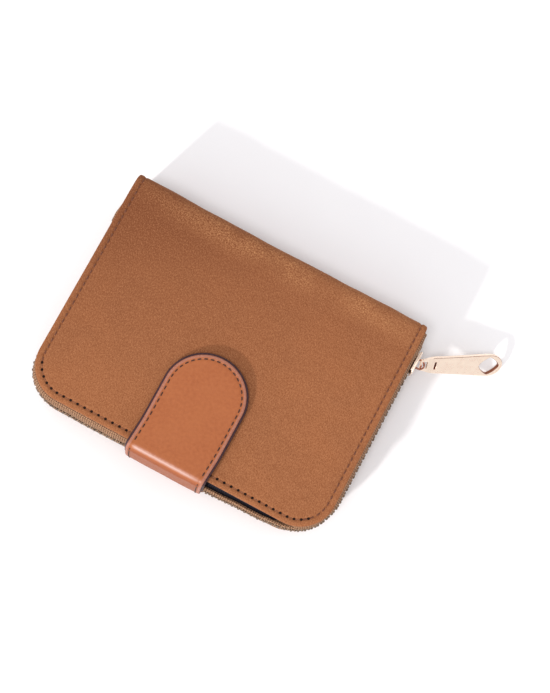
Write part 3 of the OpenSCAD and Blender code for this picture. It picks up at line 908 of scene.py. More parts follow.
def tape(name, mirror):
    n = TAPE_UP.n
    base, d = TAPE_UP.base, TAPE_UP.dir
    g = gapmask(base[:, 0], base[:, 1])
    if mirror:
        g = g * 0.0
    bl = bulge(base[:, 0], base[:, 1])
    tk = tuck(base[:, 0], base[:, 1])
    c0 = np.array([(-3.4, 22.1), (-1.6, 22.12), (-0.35, 22.05), (0.45, 21.4), (0.92, 20.2), (1.15, 18.4), (1.2, 16.6), (1.0, 14.9), (0.92, 13.9)])
    c1 = np.array([(-3.6, 22.0), (-3.2, 20.8), (-2.9, 18.9), (-2.2, 16.9), (-0.9, 15.7), (0.1, 15.6), (0.75, 16.5), (1.1, 15.9), (0.95, 13.9)])
    c2 = np.array([(-3.4, 22.1), (-2.0, 22.12), (-1.3, 21.95), (-0.9, 21.2), (-0.6, 20.0), (-0.1, 18.3), (0.85, 16.7), (1.0, 14.9), (0.92, 13.9)])
    sd = sidemask(base[:, 0], base[:, 1])
    dark = []
    low = smoothstep(70.6, 72.6, base[:, 1]) * (base[:, 0] < 0)
    rows, uvs = [], []
    for i in range(n):
        c = (c0 * (1 - sd[i]) + c2 * sd[i]) * (1 - g[i]) + c1 * g[i]
        share = np.clip((21.5 - c[:, 1]) / 6.0, 0, 1)
        c = c.copy()
        # past the last teeth the two tapes' edges come together
        c[:, 1] -= low[i] * 1.82 * np.clip((19.0 - c[:, 1]) / 5.0, 0, 1)
        c[:, 0] += bl[i] * share - tk[i] * 3.2 * np.clip((22.2 - c[:, 1]) / 3.0, 0.35, 1)
        # uneven edge of a sewn tape
        c[:, 0] += 0.06 * math.sin(TAPE_UP.s[i] * 0.55) * share
        p = catmull(c, 0.7)
        m = 22
        ss = np.r_[0, np.cumsum(np.linalg.norm(np.diff(p, axis=0), axis=1))]
        q = np.linspace(0, ss[-1], m)
        p = np.c_[np.interp(q, ss, p[:, 0]), np.interp(q, ss, p[:, 1])]
        t = np.gradient(p, axis=0)
        t /= np.linalg.norm(t, axis=1)[:, None]
        nn = np.c_[-t[:, 1], t[:, 0]]      # outward (left of travel down the wall)
        th = 0.27 + 0.10 * np.exp(-((q - ss[-1] + 0.5) / 0.5) ** 2)
        outer = p + nn * th[:, None]
        inner = (p - nn * th[:, None])[::-1]
        loop = np.vstack([outer, inner])
        rows.append(loop)
        uvs.append(np.r_[q, q[::-1] + 20])
        # painted shade: in the gap right of the tab the faces behind the cover's rolled edge get a near-black cloth,
        # fading out towards the corner
        fall = min(1.0, max(0.0, (58.0 - base[i, 0]) / 16.0))
        dark.append([g[i] > 0.002 and j < int(round(m * 0.70 * fall)) for j in range(2 * m)])
    R = np.array(rows)
    mlen = R.shape[1]
    off = -d
    X = base[:, None, 0] + off[:, None, 0] * R[:, :, 0]
    Vv = base[:, None, 1] + off[:, None, 1] * R[:, :, 0]
    Y = Y0 + Vv
    Z = R[:, :, 1]
    if mirror:
        Z = H - Z
    F = grid_faces(n, mlen, close_v=True)
    flat = [len(F), len(F) + 1]
    F += [tuple(range(mlen)), tuple((n - 1) * mlen + k for k in range(mlen))]
    FM = [1 if dark[i][j] else 0 for i in range(n - 1) for j in range(mlen)] + [0, 0]
    uv = np.c_[np.repeat(TAPE_UP.s, mlen), np.array(uvs).ravel()]
    return build(name, np.c_[X.ravel(), Y.ravel(), Z.ravel()], F, [TAPE, TAPE_GAP_SHADE], uv=uv, fmat=FM, flat=flat, merge=False)


for mirror, nm, body, node in ((False, "zip_tape_upper_cloth", "front", "zip_tape_upper"), (True, "zip_tape_lower_cloth", "back", "zip_tape_lower")):
    o = tape(nm, mirror)
    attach(o, body)
    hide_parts(node)

# -------------------------------------------------------------------- teeth
CX, CY, PR = 46.0, -29.5, 15.0
LA, LB, LC = 25 - CY, PR * math.pi / 2, 2 * CX
LE = 33 - CY


def path_at(s):
    if s < LA:
        return -(CX + PR), 25 - s, 180.0
    if s < LA + LB:
        a = 180 + 90 * (s - LA) / LB
        return -CX + PR * math.cos(math.radians(a)), CY + PR * math.sin(math.radians(a)), a
    if s < LA + LB + LC:
        return -CX + s - LA - LB, CY - PR, 270.0
    if s < LA + 2 * LB + LC:
        a = 270 + 90 * (s - LA - LB - LC) / LB
        return CX + PR * math.cos(math.radians(a)), CY + PR * math.sin(math.radians(a)), a
    return CX + PR, CY + s - LA - 2 * LB - LC, 360.0


def tooth_template():
    """One cast tooth, foot at z = 0, nose at z = 2.9: legs that grip the tape, a waist and a rounded head."""
    lv = [(0.0, 0.78, 0.40), (0.18, 0.94, 0.50), (0.9, 0.98, 0.52), (1.3, 0.86, 0.50), (1.75, 0.84, 0.50),
          (2.2, 0.90, 0.48), (2.6, 0.78, 0.38), (2.85, 0.50, 0.22)]
    V = []
    k = 12
    for z, a, b in lv:
        for j in range(k):
            t = 2 * math.pi * j / k
            c, s = math.cos(t), math.sin(t)
            e = 0.5
            V.append((a * math.copysign(abs(c) ** e, c), b * math.copysign(abs(s) ** e, s), z))
    F = []
    for i in range(len(lv) - 1):
        for j in range(k):
            F.append((i * k + j, i * k + (j + 1) % k, (i + 1) * k + (j + 1) % k, (i + 1) * k + j))
    F.append(tuple(range(k)))
    F.append(tuple((len(lv) - 1) * k + j for j in range(k)))
    return np.array(V), F


def teeth(name, first, z, up):
    TV, TF = tooth_template()
    V, F = [], []
    s = first
    total = LA + 2 * LB + LC + LE
    while s < total + 1e-9:
        px, py, a = path_at(s)
        ar = math.radians(a)
        o = bulge(px, py - Y0)
        ca, sa = math.cos(ar), math.sin(ar)
        P = TV.copy()
        if up < 0:
            P[:, 2] = -P[:, 2]
        x = px + ca * o + P[:, 0] * ca - P[:, 1] * sa
        y = py + sa * o + P[:, 0] * sa + P[:, 1] * ca
        off = len(V) * len(TV)
        V.append(np.c_[x, y, z + P[:, 2]])
        F += [tuple(off + i for i in f) for f in TF]
        s += 2.6
    o = build(name, np.vstack(V), F, [TEETH], merge=False)
    sharp_by_angle(o, 50)
    return o


t1 = teeth("zip_teeth_lower_row", 0.6, 10.0, 1)
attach(t1, "back"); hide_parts("zip_teeth_lower")
t2 = teeth("zip_teeth_upper_row", 1.9, 14.0, -1)
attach(t2, "front"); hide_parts("zip_teeth_upper")


def stop(name, lo, hi, body, node):
    o = bevelled_box(name, lo, hi, 0.28, [TEETH], 3)
    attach(o, body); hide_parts(node)


stop("stop_lower", (60.2, 37.6, 10.0), (61.8, 39.2, 11.4), "back", "zip_stop_lower")
stop("stop_upper", (60.2, 37.6, 12.6), (61.8, 39.2, 14.0), "front", "zip_stop_upper")
stop("bottom_stop", (-61.9, 26.0, 10.0), (-60.1, 28.0, 13.75), "back", "zip_bottom_stop")

# ---------------------------------------------------------------------- tab
ZT, YT = 27.6, -47.15


def belly(z):
    """The riser stands out a little between its two bends."""
    return YT - 0.6 * math.sin(math.pi * min(1.0, max(0.0, (z - 3.0) / 20.5))) ** 1.5


flap_line = [(y, ZT) for y in np.linspace(-1.4, -43.6, 61)]
flap_line += list(map(tuple, catmull([(-44.0, ZT), (-44.7, 27.52), (-45.35, 27.12), (-46.05, 26.4), (-46.7, 25.35), (-47.05, 24.1), (YT, 22.6)], 0.16)))
flap_line += [(belly(z), z) for z in np.linspace(22.2, 14.0, 14)]
FLAP = Prof(flap_line, -1.0)
root_line = [(belly(z), z) for z in np.linspace(14.0, 4.4, 18)]
root_line += [(-44.5 + 2.65 * math.cos(a), 4.1 + 2.65 * math.sin(a)) for a in np.radians(np.linspace(180, 270, 14))]
root_line += [(y, 1.45) for y in np.linspace(-44.2, -33.0, 12)]
ROOT = Prof(root_line, -1.0)
FL_UP = UPath(15.0, 15.0, FLAP.length - 1.1, 0.65, narc=36, nbot=0)
SKEW = 0.0


def flap_place(x, v, h, dv=1.1):
    y, z = FLAP.at(v + dv, h)
    lift = 0.20 * (1 - smoothstep(0, 22, v)) - 0.10 * (x / 15.0) ** 2 * (1 - smoothstep(38, 44, v))
    k = smoothstep(30, 45, v)
    return x * 1.018 + 0.28 * (1 - k) - 0.42 * k, y, z + lift


def flap_place2(x, v, h):
    return flap_place(x, v, h, 0.25)


def root_place(x, v, h):
    y, z = ROOT.at(v, h)
    return (x * 1.018 - 0.42) * (1 - 0.05 * smoothstep(13.5, 18, v)), y, z


def flap_relief(x, v, t, i):
    x, v = np.asarray(x, float), np.asarray(v, float)
    h = 0.06 * smoothstep(1.5, 8, 15 - np.abs(x)) + 0.03 * np.sin(x * 0.35 + 1) * np.sin(v * 0.3)
    if t < 4:
        h = h - 0.08 * math.exp(-((t - 1.6) / 0.3) ** 2)
        if i is not None:
            h = h - ((np.asarray(i) % 4) == 0) * 0.12 * math.exp(-((t - 1.6) / 0.25) ** 2) * (v < FL_UP.length - 1)
    # crease marks where the leather turns over the edge
    h = h + 0.02 * np.exp(-((v - 42.1) / 0.8) ** 2) * (0.6 + 0.4 * np.sin(x * 0.9)) - 0.03 * np.exp(-((v - 43.3) / 0.6) ** 2)
    return h


fl_rings = [(15, -1.1, 0), (6, -1.1, 0), (0.9, -1.1, 0), (0.35, -1.06, 0), (0.08, -0.93, 0), (0.0, -0.72, 0), (0.0, -0.5, 0), (0.07, -0.28, 0.2),
            (0.25, -0.11, 0.5), (0.5, -0.04, 0.8), (0.8, -0.01, 1), (0.98, 0.0, 1), (1.2, 0, 1), (1.3, 0, 1), (1.45, 0, 1), (1.6, 0, 1), (1.75, 0, 1),
            (2.0, 0, 1), (2.5, 0, 1), (3.2, 0, 1), (4.8, 0, 1), (7.5, 0, 1), (11, 0, 1), (15, 0, 1)]
fm = []
for k in range(len(fl_rings) - 1):
    fm.append(2 if 2 <= k <= 4 else (1 if 5 <= k <= 10 else 0))
flap_o = plate("tab_leather_flap", FL_UP, fl_rings, flap_relief, None, flap_place, [LEATHER, EDGE, EDGE_DARK_AND_SHADE], ring_mat=fm, inner=False)
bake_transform(flap_o)
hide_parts("tab_flap", "tab_riser")
# painted shade: the lining stands a little beyond the leather, and its rim and outer 1 mm are dark to stand in for the
# contact shadow round the tab
FL2 = UPath(15.75, 15.75, FLAP.length - 0.25, 0.9, narc=30, nbot=0)
fl2_rings = [(15.75, -1.66, 0), (4, -1.66, 0), (0.6, -1.66, 0), (0.2, -1.6, 0), (0.0, -1.46, 0), (0.1, -1.3, 0), (0.5, -1.16, 0), (1.0, -1.11, 0), (15.75, -1.11, 0)]
fl2 = plate("tab_flap_lining_suede", FL2, fl2_rings, flap_relief, None, flap_place2, [TAB_LINING, EDGE_DARK_AND_SHADE],
            ring_mat=[0, 0, 1, 1, 1, 1, 1, 0], inner=False)
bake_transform(fl2)
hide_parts("tab_flap_lining", "tab_riser_lining")
# stitches on the flap and the upper half of the riser
q = FL_UP.at(1.6)
ids = [i for i in range(FL_UP.n) if i % 4 == 0]
hh = flap_relief(q[ids, 0], q[ids, 1], 1.6, None) - 0.0
P = np.c_[flap_place(q[ids, 0], q[ids, 1], hh)]
P2 = np.c_[flap_place(q[ids, 0], q[ids, 1], hh + 1.0)]
so = stitches("tab_flap_stitches", [(P, P2 - P)], rad=0.27, hole=0.0, mats=[THREAD_TAB, HOLE], gap=0.19, dip=0.16)
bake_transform(so)
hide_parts("tab_stitching")

# lower half of the riser and its root, sewn in between the back cover and its lining
def strip_cross(w, h0, h1, groove=None):
    """Closed loop (x, h) of a strap's section, h1 the outer side."""
    r = min(0.35, (h1 - h0) / 2 * 0.9)
    top = [(-w + 0.0, h1 - r * 1.6), (-w + 0.07, h1 - r * 0.8), (-w + 0.25, h1 - r * 0.3), (-w + 0.5, h1 - 0.04), (-w + 0.9, h1)]
    if groove:
        top += [(-w + 1.35, h1), (-w + 1.6, h1 - 0.1), (-w + groove, h1 - 0.16), (-w + 2.0, h1 - 0.1), (-w + 2.25, h1)]
    top += [(x, h1 + 0.05) for x in (-w + 4, -w + 8, 0)]
    left = top
    right = [(-x, h) for x, h in top[:-1]][::-1]
    bottom = [(w - 0.02, h0 + r * 0.8), (w - 0.25, h0 + 0.06), (w - 0.8, h0), (0, h0), (-w + 0.8, h0), (-w + 0.25, h0 + 0.06), (-w + 0.02, h0 + r * 0.8)]
    return left + right + bottom


LE_V = np.array([FL_UP.length])
half_sec = []
for (t, h, w), in zip(fl_rings):
    half_sec.append((-15.0 + t, float(h + w * flap_relief(np.array([-15.0 + t]), LE_V, t, None)[0])))
cr = half_sec[1:] + [(-x, h) for x, h in half_sec[:-1]][::-1]
cr = cr[:-1]
cm = []
for k in range(len(cr)):
    (xa, ha), (xb, hb) = cr[k], cr[(k + 1) % len(cr)]
    xm, hm = abs((xa + xb) / 2), (ha + hb) / 2
    cm.append(2 if (xm > 14.0 and hm < -0.6) else (1 if xm > 14.1 and hm < 0.01 else 0))
vr = np.r_[np.linspace(0, 9.6, 20), np.linspace(9.8, 14.6, 26), np.linspace(15.0, ROOT.length, 10)]
ro = sweep("tab_leather_root", cr, root_place, vr, [LEATHER, EDGE, EDGE_DARK_AND_SHADE], cmat=cm, uv0=FL_UP.length)
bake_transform(ro)
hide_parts("tab_anchor")
cr2 = strip_cross(15.75, -1.66, -1.11)
ro2 = sweep("tab_root_lining_suede", cr2, root_place, vr[vr < 14.2], [TAB_LINING], uv0=FL_UP.length)
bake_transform(ro2)
runs = []
for s in (-1, 1):
    vv = np.arange(0.0, 12.5, 2.6)
    P = np.c_[root_place(np.full(len(vv), s * 13.4), vv, np.full(len(vv), -0.06))]
    P2 = np.c_[root_place(np.full(len(vv), s * 13.4), vv, np.full(len(vv), 0.9))]
    runs.append((P, P2 - P))
so = stitches("tab_riser_stitches", runs, rad=0.24, hole=0.0, mats=[THREAD_TAB, HOLE], gap=0.24, dip=0.16)
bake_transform(so)
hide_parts("tab_riser_stitching")

# --------------------------------------------------------------------- snap
SY = -17.5
stud = lathe("snap_stud_metal", [(0.0, 25.92), (1.2, 25.9), (1.8, 25.78), (2.12, 25.5), (2.16, 25.25), (1.95, 25.0), (1.85, 24.86), (2.6, 24.82),
             (3.6, 24.78), (4.2, 24.9), (5.0, 24.9), (5.6, 24.8), (6.3, 24.72), (6.8, 24.55), (7.0, 24.3), (6.95, 24.1), (6.8, 24.02), (1.45, 24.0), (1.45, 21.8), (0.0, 21.8)], 0, SY, [STEEL])
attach(stud, "front"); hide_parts("snap_stud")
sock = lathe("snap_socket_metal", [(2.5, 25.95), (2.5, 25.25), (2.7, 25.1), (3.1, 25.06), (3.6, 25.16), (4.3, 25.2), (4.9, 25.1), (5.8, 25.08), (6.6, 25.14),
             (6.92, 25.3), (7.0, 25.6), (6.9, 25.9), (6.7, 26.0), (2.6, 26.0), (2.5, 25.95)], 0, SY, [STEEL])
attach(sock, "flap"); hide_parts("snap_socket")

# ------------------------------------------------------------------ pockets


def panel(name, x0, x1, ya, yb, z0, z1, mats, mirror, hole=None, mouth="hi", roll=0.16, warp=0.05):
    """A pocket panel with a turned mouth edge. hole: (x0, x1, y0, y1) of a rectangular window left out along the grid.
    """
    nx, ny = 60, 44
    xs = np.linspace(x0, x1, nx)
    ys = np.r_[np.linspace(ya, yb - 3.2, ny - 12, endpoint=False), np.linspace(yb - 3.2, yb, 12)]
    X, Y = np.meshgrid(xs, ys, indexing="ij")
    ed = np.minimum.reduce([X - x0, x1 - X, Y - ya])
    th = z1 - z0
    turn = (yb - Y)
    top = z1 + roll * np.exp(-((turn - 1.1) / 1.1) ** 2) - roll * 0.9 * np.exp(-((turn - 2.75) / 0.35) ** 2)
    top = top + warp * smoothstep(1, 12, ed) * (0.6 + 0.4 * np.sin(X * 0.09))
    top = top - 0.10 * np.exp(-((ed - 1.6) / 0.45) ** 2)
    top = top - th * 0.55 * np.exp(-(np.minimum(ed, turn) / 0.16) ** 2)
    bot = np.full_like(top, z0) + th * 0.3 * np.exp(-(np.minimum(ed, turn) / 0.16) ** 2)
    V = np.vstack([np.c_[X.ravel(), Y.ravel(), top.ravel()], np.c_[X.ravel(), Y.ravel(), bot.ravel()]])
    n = nx * len(ys)
    ny2 = len(ys)

    def inside(i, j):
        if hole is None:
            return True
        xm, ym = (xs[i] + xs[i + 1]) / 2, (ys[j] + ys[j + 1]) / 2
        return not (hole[0] < xm < hole[1] and hole[2] < ym < hole[3])

    F = []
    for i in range(nx - 1):
        for j in range(ny2 - 1):
            if inside(i, j):
                F.append((i * ny2 + j, (i + 1) * ny2 + j, (i + 1) * ny2 + j + 1, i * ny2 + j + 1))
                F.append(tuple(n + k for k in (i * ny2 + j, i * ny2 + j + 1, (i + 1) * ny2 + j + 1, (i + 1) * ny2 + j)))
    # side walls along every open edge of the top
    count = {}
    for f in F[::2]:
        for a, b in zip(f, f[1:] + f[:1]):
            count[(a, b)] = count.get((a, b), 0) + 1
    for (a, b) in list(count):
        if (b, a) not in count:
            F.append((b, a, a + n, b + n))
    if mirror:
        V[:, 2] = H - V[:, 2]
    return build(name, V, F, mats, uv=V[:, :2])


def seam(name, pts, z, up, body, mats=None, rad=0.2, hole=0.24, pitch=2.6):
    runs = []
    for line in pts:
        p = np.array(line, float)
        d = np.linalg.norm(np.diff(p, axis=0), axis=1)
        s = np.r_[0, np.cumsum(d)]
        k = max(1, int(round(s[-1] / pitch)))
        q = np.linspace(0, s[-1], k + 1)
        x, y = np.interp(q, s, p[:, 0]), np.interp(q, s, p[:, 1])
        zz = np.array([z(a, b) for a, b in zip(x, y)])
        runs.append((np.c_[x, y, zz], np.tile([0, 0, up], (len(q), 1))))
    o = stitches(name, runs, rad=rad, hole=hole, mats=mats or [THREAD, HOLE])
    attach(o, body)
    return o


for k, (nm, mt, sl) in enumerate((("card_slot_rear", LEATHER_IN, "pocket_leather"), ("card_slot_middle", SUEDE_IN, "suede"), ("card_slot_front", LEATHER_IN, "pocket_leather"))):
    yb = 26.5 - 13 * k
    o = panel(nm + "_panel", -47, 47, -37.5, yb, 3.3 + 0.6 * k, 3.9 + 0.6 * k, [mt], False)
    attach(o, "back"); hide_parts(nm)
    z1 = 3.9 + 0.6 * k
    seam(nm + "_mouth_seam", [[(-45.4, yb - 2.75), (45.4, yb - 2.75)]], lambda a, b, z1=z1: z1 - 0.08, 1, "back")


def slot_z(x, y):
    return 3.9 - 0.08 if y > 13.5 else (4.5 - 0.08 if y > 0.5 else 5.1 - 0.08)


seam("card_slot_side_seam", [[(-45.4, 24.6), (-45.4, -35.9), (45.4, -35.9), (45.4, 24.6)]], slot_z, 1, "back")

o = panel("slip_pocket_panel", -52, 52, -37.5, 30.5, 3.3, 3.9, [SUEDE_IN], True)
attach(o, "front"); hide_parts("slip_pocket")
seam("slip_pocket_seam", [[(-50.4, 28.4), (-50.4, -35.9), (50.4, -35.9), (50.4, 28.4)], [(-50.0, 27.75), (50.0, 27.75)]], lambda a, b: H - 3.9 + 0.08, -1, "front")

# window frame: a rounded opening made as a ring of quads
def window_frame():
    def rr(x0, x1, ya, yb, r, n=10):
        pts = []
        for cx, cy, a0 in ((x1 - r, yb - r, 0), (x0 + r, yb - r, 90), (x0 + r, ya + r, 180), (x1 - r, ya + r, 270)):
            for a in np.radians(np.linspace(a0, a0 + 90, n)):
                pts.append((cx + r * math.cos(a), cy + r * math.sin(a)))
        return np.array(pts)
    out = (-47, 47, -37.5, 14.5, 2.0)
    inn = (-41, 41, -31.5, 8.5, 2.5)

    def mixr(t):
        a = [o_ * (1 - t) + i_ * t for o_, i_ in zip(out, inn)]
        return rr(*a)
    prof = [(0.0, 3.95), (0.0, 4.3), (0.03, 4.45), (0.1, 4.5), (0.2, 4.46), (0.27, 4.38), (0.34, 4.47), (0.55, 4.54), (0.7, 4.50), (0.78, 4.40), (0.86, 4.5), (0.95, 4.52), (0.99, 4.44), (1.0, 4.25), (1.0, 3.95)]
    L = [np.c_[mixr(t), np.full(40, z)] for t, z in prof]
    A = np.stack(L, 1)
    V = A.reshape(-1, 3).copy()
    V[:, 2] = H - V[:, 2]
    return build("id_window_frame_panel", V, grid_faces(40, len(prof), close_u=True, close_v=True), [LEATHER_IN], uv=A.reshape(-1, 3)[:, :2])


o = window_frame()
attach(o, "front"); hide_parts("id_window_frame")
seam("id_frame_seam", [[(-45.4, 12.9), (-45.4, -35.9), (45.4, -35.9), (45.4, 12.9), (-45.4, 12.9)], [(-42.3, 9.8), (-42.3, -32.8), (42.3, -32.8), (42.3, 9.8), (-42.3, 9.8)]],
     lambda a, b: H - 4.44, -1, "front", mats=[THREAD_TAB, HOLE])
xs = np.linspace(-42.5, 42.5, 24); ys = np.linspace(-33.0, 10.0, 16)
X, Y = np.meshgrid(xs, ys, indexing="ij")
Z1 = H - 4.15 - 0.06 * np.cos(X * 0.05) * np.cos((Y + 11.5) * 0.07) + 0.02 * np.sin(X * 0.3) * np.sin(Y * 0.4)
V = np.vstack([np.c_[X.ravel(), Y.ravel(), Z1.ravel()], np.c_[X.ravel(), Y.ravel(), (Z1 + 0.18).ravel()]])
n = X.size
F = grid_faces(24, 16)
F2 = [tuple(n + i for i in f[::-1]) for f in F]
W = []
for i in range(23):
    for j in (0, 15):
        W.append((i * 16 + j, (i + 1) * 16 + j, n + (i + 1) * 16 + j, n + i * 16 + j))
for j in range(15):
    for i in (0, 23):
        W.append((i * 16 + j, i * 16 + j + 1, n + i * 16 + j + 1, n + i * 16 + j))
o = build("id_window_film", V, F + F2 + W, [FILM])
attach(o, "front"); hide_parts("id_window")

# ------------------------------------------------------------------- slider


def plate_loop(y0, y1, z0, z1, narrow, r=1.1):
    """Outline of a slider plate in (y, z): wide at the spine end, waisted at the tail."""
    zm, hw = (z0 + z1) / 2, (z1 - z0) / 2
    pts = []
    for yy, hh in ((y1, hw * 0.86), (y1 - 0.5, hw * 0.97), (y1 - 1.4, hw), (y1 - 3.4, hw), (y0 + 3.4, hw * (1 - narrow * 0.5)), (y0 + 1.4, hw * (1 - narrow)), (y0 + 0.4, hw * (0.94 - narrow)), (y0, hw * (0.8 - narrow))):
        pts.append((yy, hh))
    up = catmull(pts, 0.35)
    loop = np.vstack([np.c_[up[:, 0], zm + up[:, 1]], np.c_[up[::-1, 0], zm - up[::-1, 1]]])
    return loop


M_out = Matrix(((0, 0, 1, 62.5), (1, 0, 0, 0), (0, 1, 0, 0), (0, 0, 0, 1)))
M_in = Matrix(((0, 0, 1, 59.5), (1, 0, 0, 0), (0, 1, 0, 0), (0, 0, 0, 1)))
parts = [curve_plate("s1", [plate_loop(28, 37, 7.8, 16.2, 0.14)], 0.8, 0.26, M_out, [GOLD]),
         curve_plate("s2", [plate_loop(28, 37, 7.8, 16.2, 0.14)], 0.8, 0.26, M_in, [GOLD])]
for z in (7.85, 15.0):
    parts.append(bevelled_box("s3", (61.6, 28.9, z), (62.3, 36.4, z + 1.15), 0.25, [GOLD]))
    parts.append(bevelled_box("s4", (59.8, 28.9, z), (60.4, 36.4, z + 1.15), 0.25, [GOLD]))
parts.append(bevelled_box("s5", (59.8, 34.4, 11.0), (62.3, 36.4, 13.0), 0.3, [GOLD]))
sl = join("slider_body_metal", parts)
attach(sl, "slider"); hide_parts("slider_body")


def bail():
    """A bent flat strip: two feet on the slider and a round loop."""
    path = [(62.75, 31.35), (63.4, 31.35), (64.1, 31.35)]
    path = [(62.7, 33 - 1.65), (63.3, 33 - 1.65)] + [(64.1 + 1.65 * math.cos(a), 33 + 1.65 * math.sin(a)) for a in np.radians(np.linspace(-90, 90, 17))] + [(63.3, 33 + 1.65), (62.7, 33 + 1.65)]
    p = np.array(path)
    t = np.gradient(p, axis=0)
    t /= np.linalg.norm(t, axis=1)[:, None]
    nn = np.c_[t[:, 1], -t[:, 0]]
    k = 12
    V = []
    wide = 0.58 + 0.5 * np.r_[np.array([1.0, 0.6]), np.zeros(17), np.array([0.6, 1.0])]
    for c, n_, w in zip(p, nn, wide):
        for j in range(k):
            a = 2 * math.pi * j / k
            e = 0.7
            u = math.copysign(abs(math.cos(a)) ** e, math.cos(a)) * 0.32
            z = math.copysign(abs(math.sin(a)) ** e, math.sin(a)) * w
            V.append((c[0] + n_[0] * u, c[1] + n_[1] * u, 12.0 + z))
    n_ = len(p)
    F = grid_faces(n_, k, close_v=True) + [tuple(range(k)), tuple((n_ - 1) * k + j for j in range(k))]
    return build("slider_bail_metal", V, F, [GOLD_BAIL_SHADE], merge=False)


o = bail()
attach(o, "slider"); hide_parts("slider_bail")

# ------------------------------------------------------------------- puller
PL, PW, PT = 33.8, 9.0, 1.6


def sm(a, b, x):
    t = min(1.0, max(0.0, (x - a) / (b - a)))
    return t * t * (3 - 2 * t)


def pull_half(x):
    if x > PL - 5.4:
        return PW / 2 * math.sqrt(max(0.0, 1 - ((x - PL + 5.4) / 5.4) ** 2))
    return 2.3 + 0.5 * sm(0.4, 3.4, x) + 0.55 * sm(1.5, 6.5, x) + 0.45 * sm(5, 18, x) + (PW / 2 - 3.8) * sm(14, PL - 5.4, x)


px = list(np.arange(0.55, PL - 5.6, 0.45)) + [PL - 5.4 + 5.4 * math.sin(a) for a in np.radians(np.linspace(0, 90, 26))]
lead = [(0.1, 0.0), (0.1, 1.6), (0.14, 1.9), (0.28, 2.16)]
top = lead + [(x, pull_half(x)) for x in px[1:]]
outline = top + [(x, -h) for x, h in top[::-1][1:-1]]


def rrect(x0, x1, yh, r, n=5):
    pts = []
    for cx, cy, a0 in ((x1 - r, yh - r, 0), (x0 + r, yh - r, 90), (x0 + r, -yh + r, 180), (x1 - r, -yh + r, 270)):
        for a in np.radians(np.linspace(a0, a0 + 90, n)):
            pts.append((cx + r * math.cos(a), cy + r * math.sin(a)))
    return pts


def spow(v, e):
    return math.copysign(abs(v) ** e, v)


dia = [(PL - 5.6 + 4.1 * spow(math.cos(t), 1.45), 3.6 * spow(math.sin(t), 1.45)) for t in np.radians(np.linspace(0, 360, 72, endpoint=False))]
M_pull = (Matrix.Translation((64.1, 33.0, 12.25)) @ Matrix.Rotation(math.radians(31.5), 4, "Z")
          @ Matrix.Rotation(math.radians(16.8), 4, "Y") @ Matrix.Rotation(math.radians(42), 4, "X"))
pull = curve_plate("puller_metal", [outline, rrect(0.7, 2.9, 1.45, 0.2), rrect(5.6, 6.3, 1.5, 0.3), dia], PT, 0.22, Matrix.Identity(4), [GOLD, GOLD_SHADE])
# thinner eye: cut both faces back near the bail, with a short ramp
cutters = []
for s in (-1, 1):
    bm = bmesh.new()
    bmesh.ops.create_cube(bm, size=1.0)
    for v in bm.verts:
        x = -1.0 if v.co.x < 0 else (3.1 if (v.co.z * s) < 0 else 10.0)
        z = (0.35 if (v.co.z * s) < 0 else 2.0) * s
        v.co = Vector((x, (-4 if v.co.y < 0 else 4), z)) * MM
    bmesh.ops.recalc_face_normals(bm, faces=bm.faces)
    me = bpy.data.meshes.new("cut")
    bm.to_mesh(me); bm.free()
    c = bpy.data.objects.new("cut", me)
    bpy.context.scene.collection.objects.link(c)
    m = pull.modifiers.new("cut", "BOOLEAN")
    m.operation = "DIFFERENCE"; m.object = c; m.solver = "EXACT"
    cutters.append(c)
bpy.context.view_layer.update()
dg = bpy.context.evaluated_depsgraph_get()
me = bpy.data.meshes.new_from_object(pull.evaluated_get(dg))
pull.modifiers.clear()
pull.data = me
for c in cutters:
    bpy.data.objects.remove(c)
# painted shade: a darker rose gold inside the holes and slot and along the bevel of one edge
bm = bmesh.new()
bm.from_mesh(me)
for f in bm.faces:
    c = f.calc_center_median() / MM
    n = f.normal
    if abs(n.z) > 0.97:
        f.material_index = 0
        continue
    rx, ry = c.x - (PL - 5.6), c.y
    in_dia = abs(rx) < 4.4 and abs(ry) < 3.9 and (n.x * rx + n.y * ry) < 0
    in_slot = 5.5 < c.x < 6.4 and abs(c.y) < 1.55
    upper = c.y > 1.0 and c.x > 3 and 0.25 < n.z < 0.97 and not in_dia
    f.material_index = 1 if (in_dia or in_slot or upper) else 0
bmesh.ops.recalc_face_normals(bm, faces=bm.faces)
bm.to_mesh(me)
bm.free()
me.transform(Matrix.Scale(MM, 4) @ M_pull @ Matrix.Scale(1 / MM, 4))
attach(pull, "pull"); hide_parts("puller")

# ----------------------------------------- CAD nodes that stay, inside the covers
for node, m, s in (("back_board", BOARD, "board"), ("front_board", BOARD, "board"),
                   ("snap_stud_washer", STEEL, "snap_metal"), ("snap_socket_washer", STEEL, "snap_metal")):
    d = NODES[node].data
    d.materials.clear()
    d.materials.append(m)

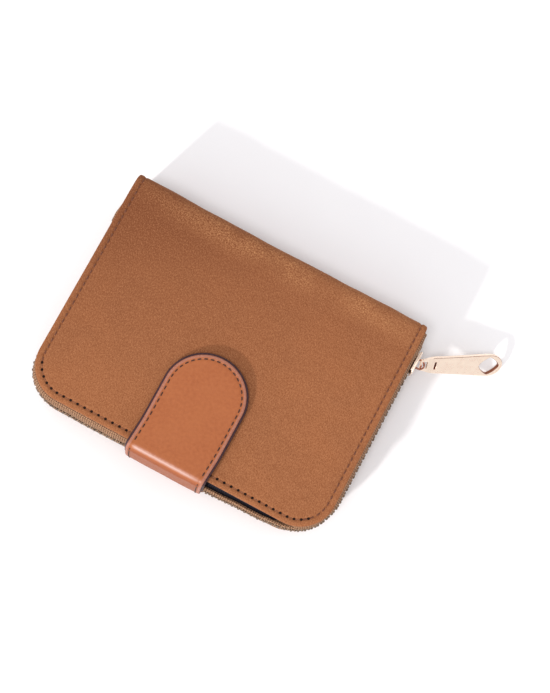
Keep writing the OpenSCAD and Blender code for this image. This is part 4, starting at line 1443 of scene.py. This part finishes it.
# -------------------------------------------------------------------- stage
bm = bmesh.new()
bmesh.ops.create_grid(bm, x_segments=1, y_segments=1, size=4.0)
me = bpy.data.meshes.new("floor")
bm.to_mesh(me); bm.free()
floor = bpy.data.objects.new("floor", me)
bpy.context.scene.collection.objects.link(floor)
floor.location.z = -0.0001
fmat = Mat("pale_floor", "OBJ")
fn = fmat.noise(0.02, 3.0, 0.6)
fmat.link(fmat.ramp(fn, [(0.3, (0.90, 0.895, 0.91, 1)), (0.7, (0.92, 0.915, 0.93, 1))]), "Base Color")
fmat.set(rough=0.9, spec=0.1)
me.materials.append(fmat.m)

world = bpy.data.worlds.new("studio")
bpy.context.scene.world = world
world.use_nodes = True
bg = world.node_tree.nodes["Background"]
bg.inputs[0].default_value = (1.0, 0.985, 0.99, 1)
bg.inputs[1].default_value = 0.85


def sun(name, direction, strength, angle, color):
    l = bpy.data.lights.new(name, "SUN")
    l.energy = strength
    l.angle = math.radians(angle)
    l.color = color
    o = bpy.data.objects.new(name, l)
    bpy.context.scene.collection.objects.link(o)
    o.rotation_mode = "QUATERNION"
    o.rotation_quaternion = Vector(direction).to_track_quat("Z", "Y")
    return o


sun("key", (-12.8, -42.8, 24.0), 2.0, 4.0, (1.0, 0.98, 0.95))
sun("fill", (-0.10, -0.35, 1.0), 0.72, 14.0, (1.0, 0.99, 1.0))

cam = bpy.data.cameras.new("camera")
co = bpy.data.objects.new("camera", cam)
bpy.context.scene.collection.objects.link(co)
xa = Vector((0.88153344, 0.4679588, 0.06255687))
ya = Vector((-0.47130671, 0.86447106, 0.17481351))
za = Vector((0.02772692, -0.18358743, 0.98261227))
M = Matrix.Identity(4)
for r in range(3):
    M[r][0], M[r][1], M[r][2] = xa[r], ya[r], za[r]
M.translation = Vector((31.054, -101.592, 627.608)) * MM
co.matrix_world = M
cam.sensor_width = 36.0
cam.lens = 88.2
cam.clip_start, cam.clip_end = 0.01, 20
bpy.context.scene.camera = co
bpy.context.scene.view_settings.view_transform = "Standard"
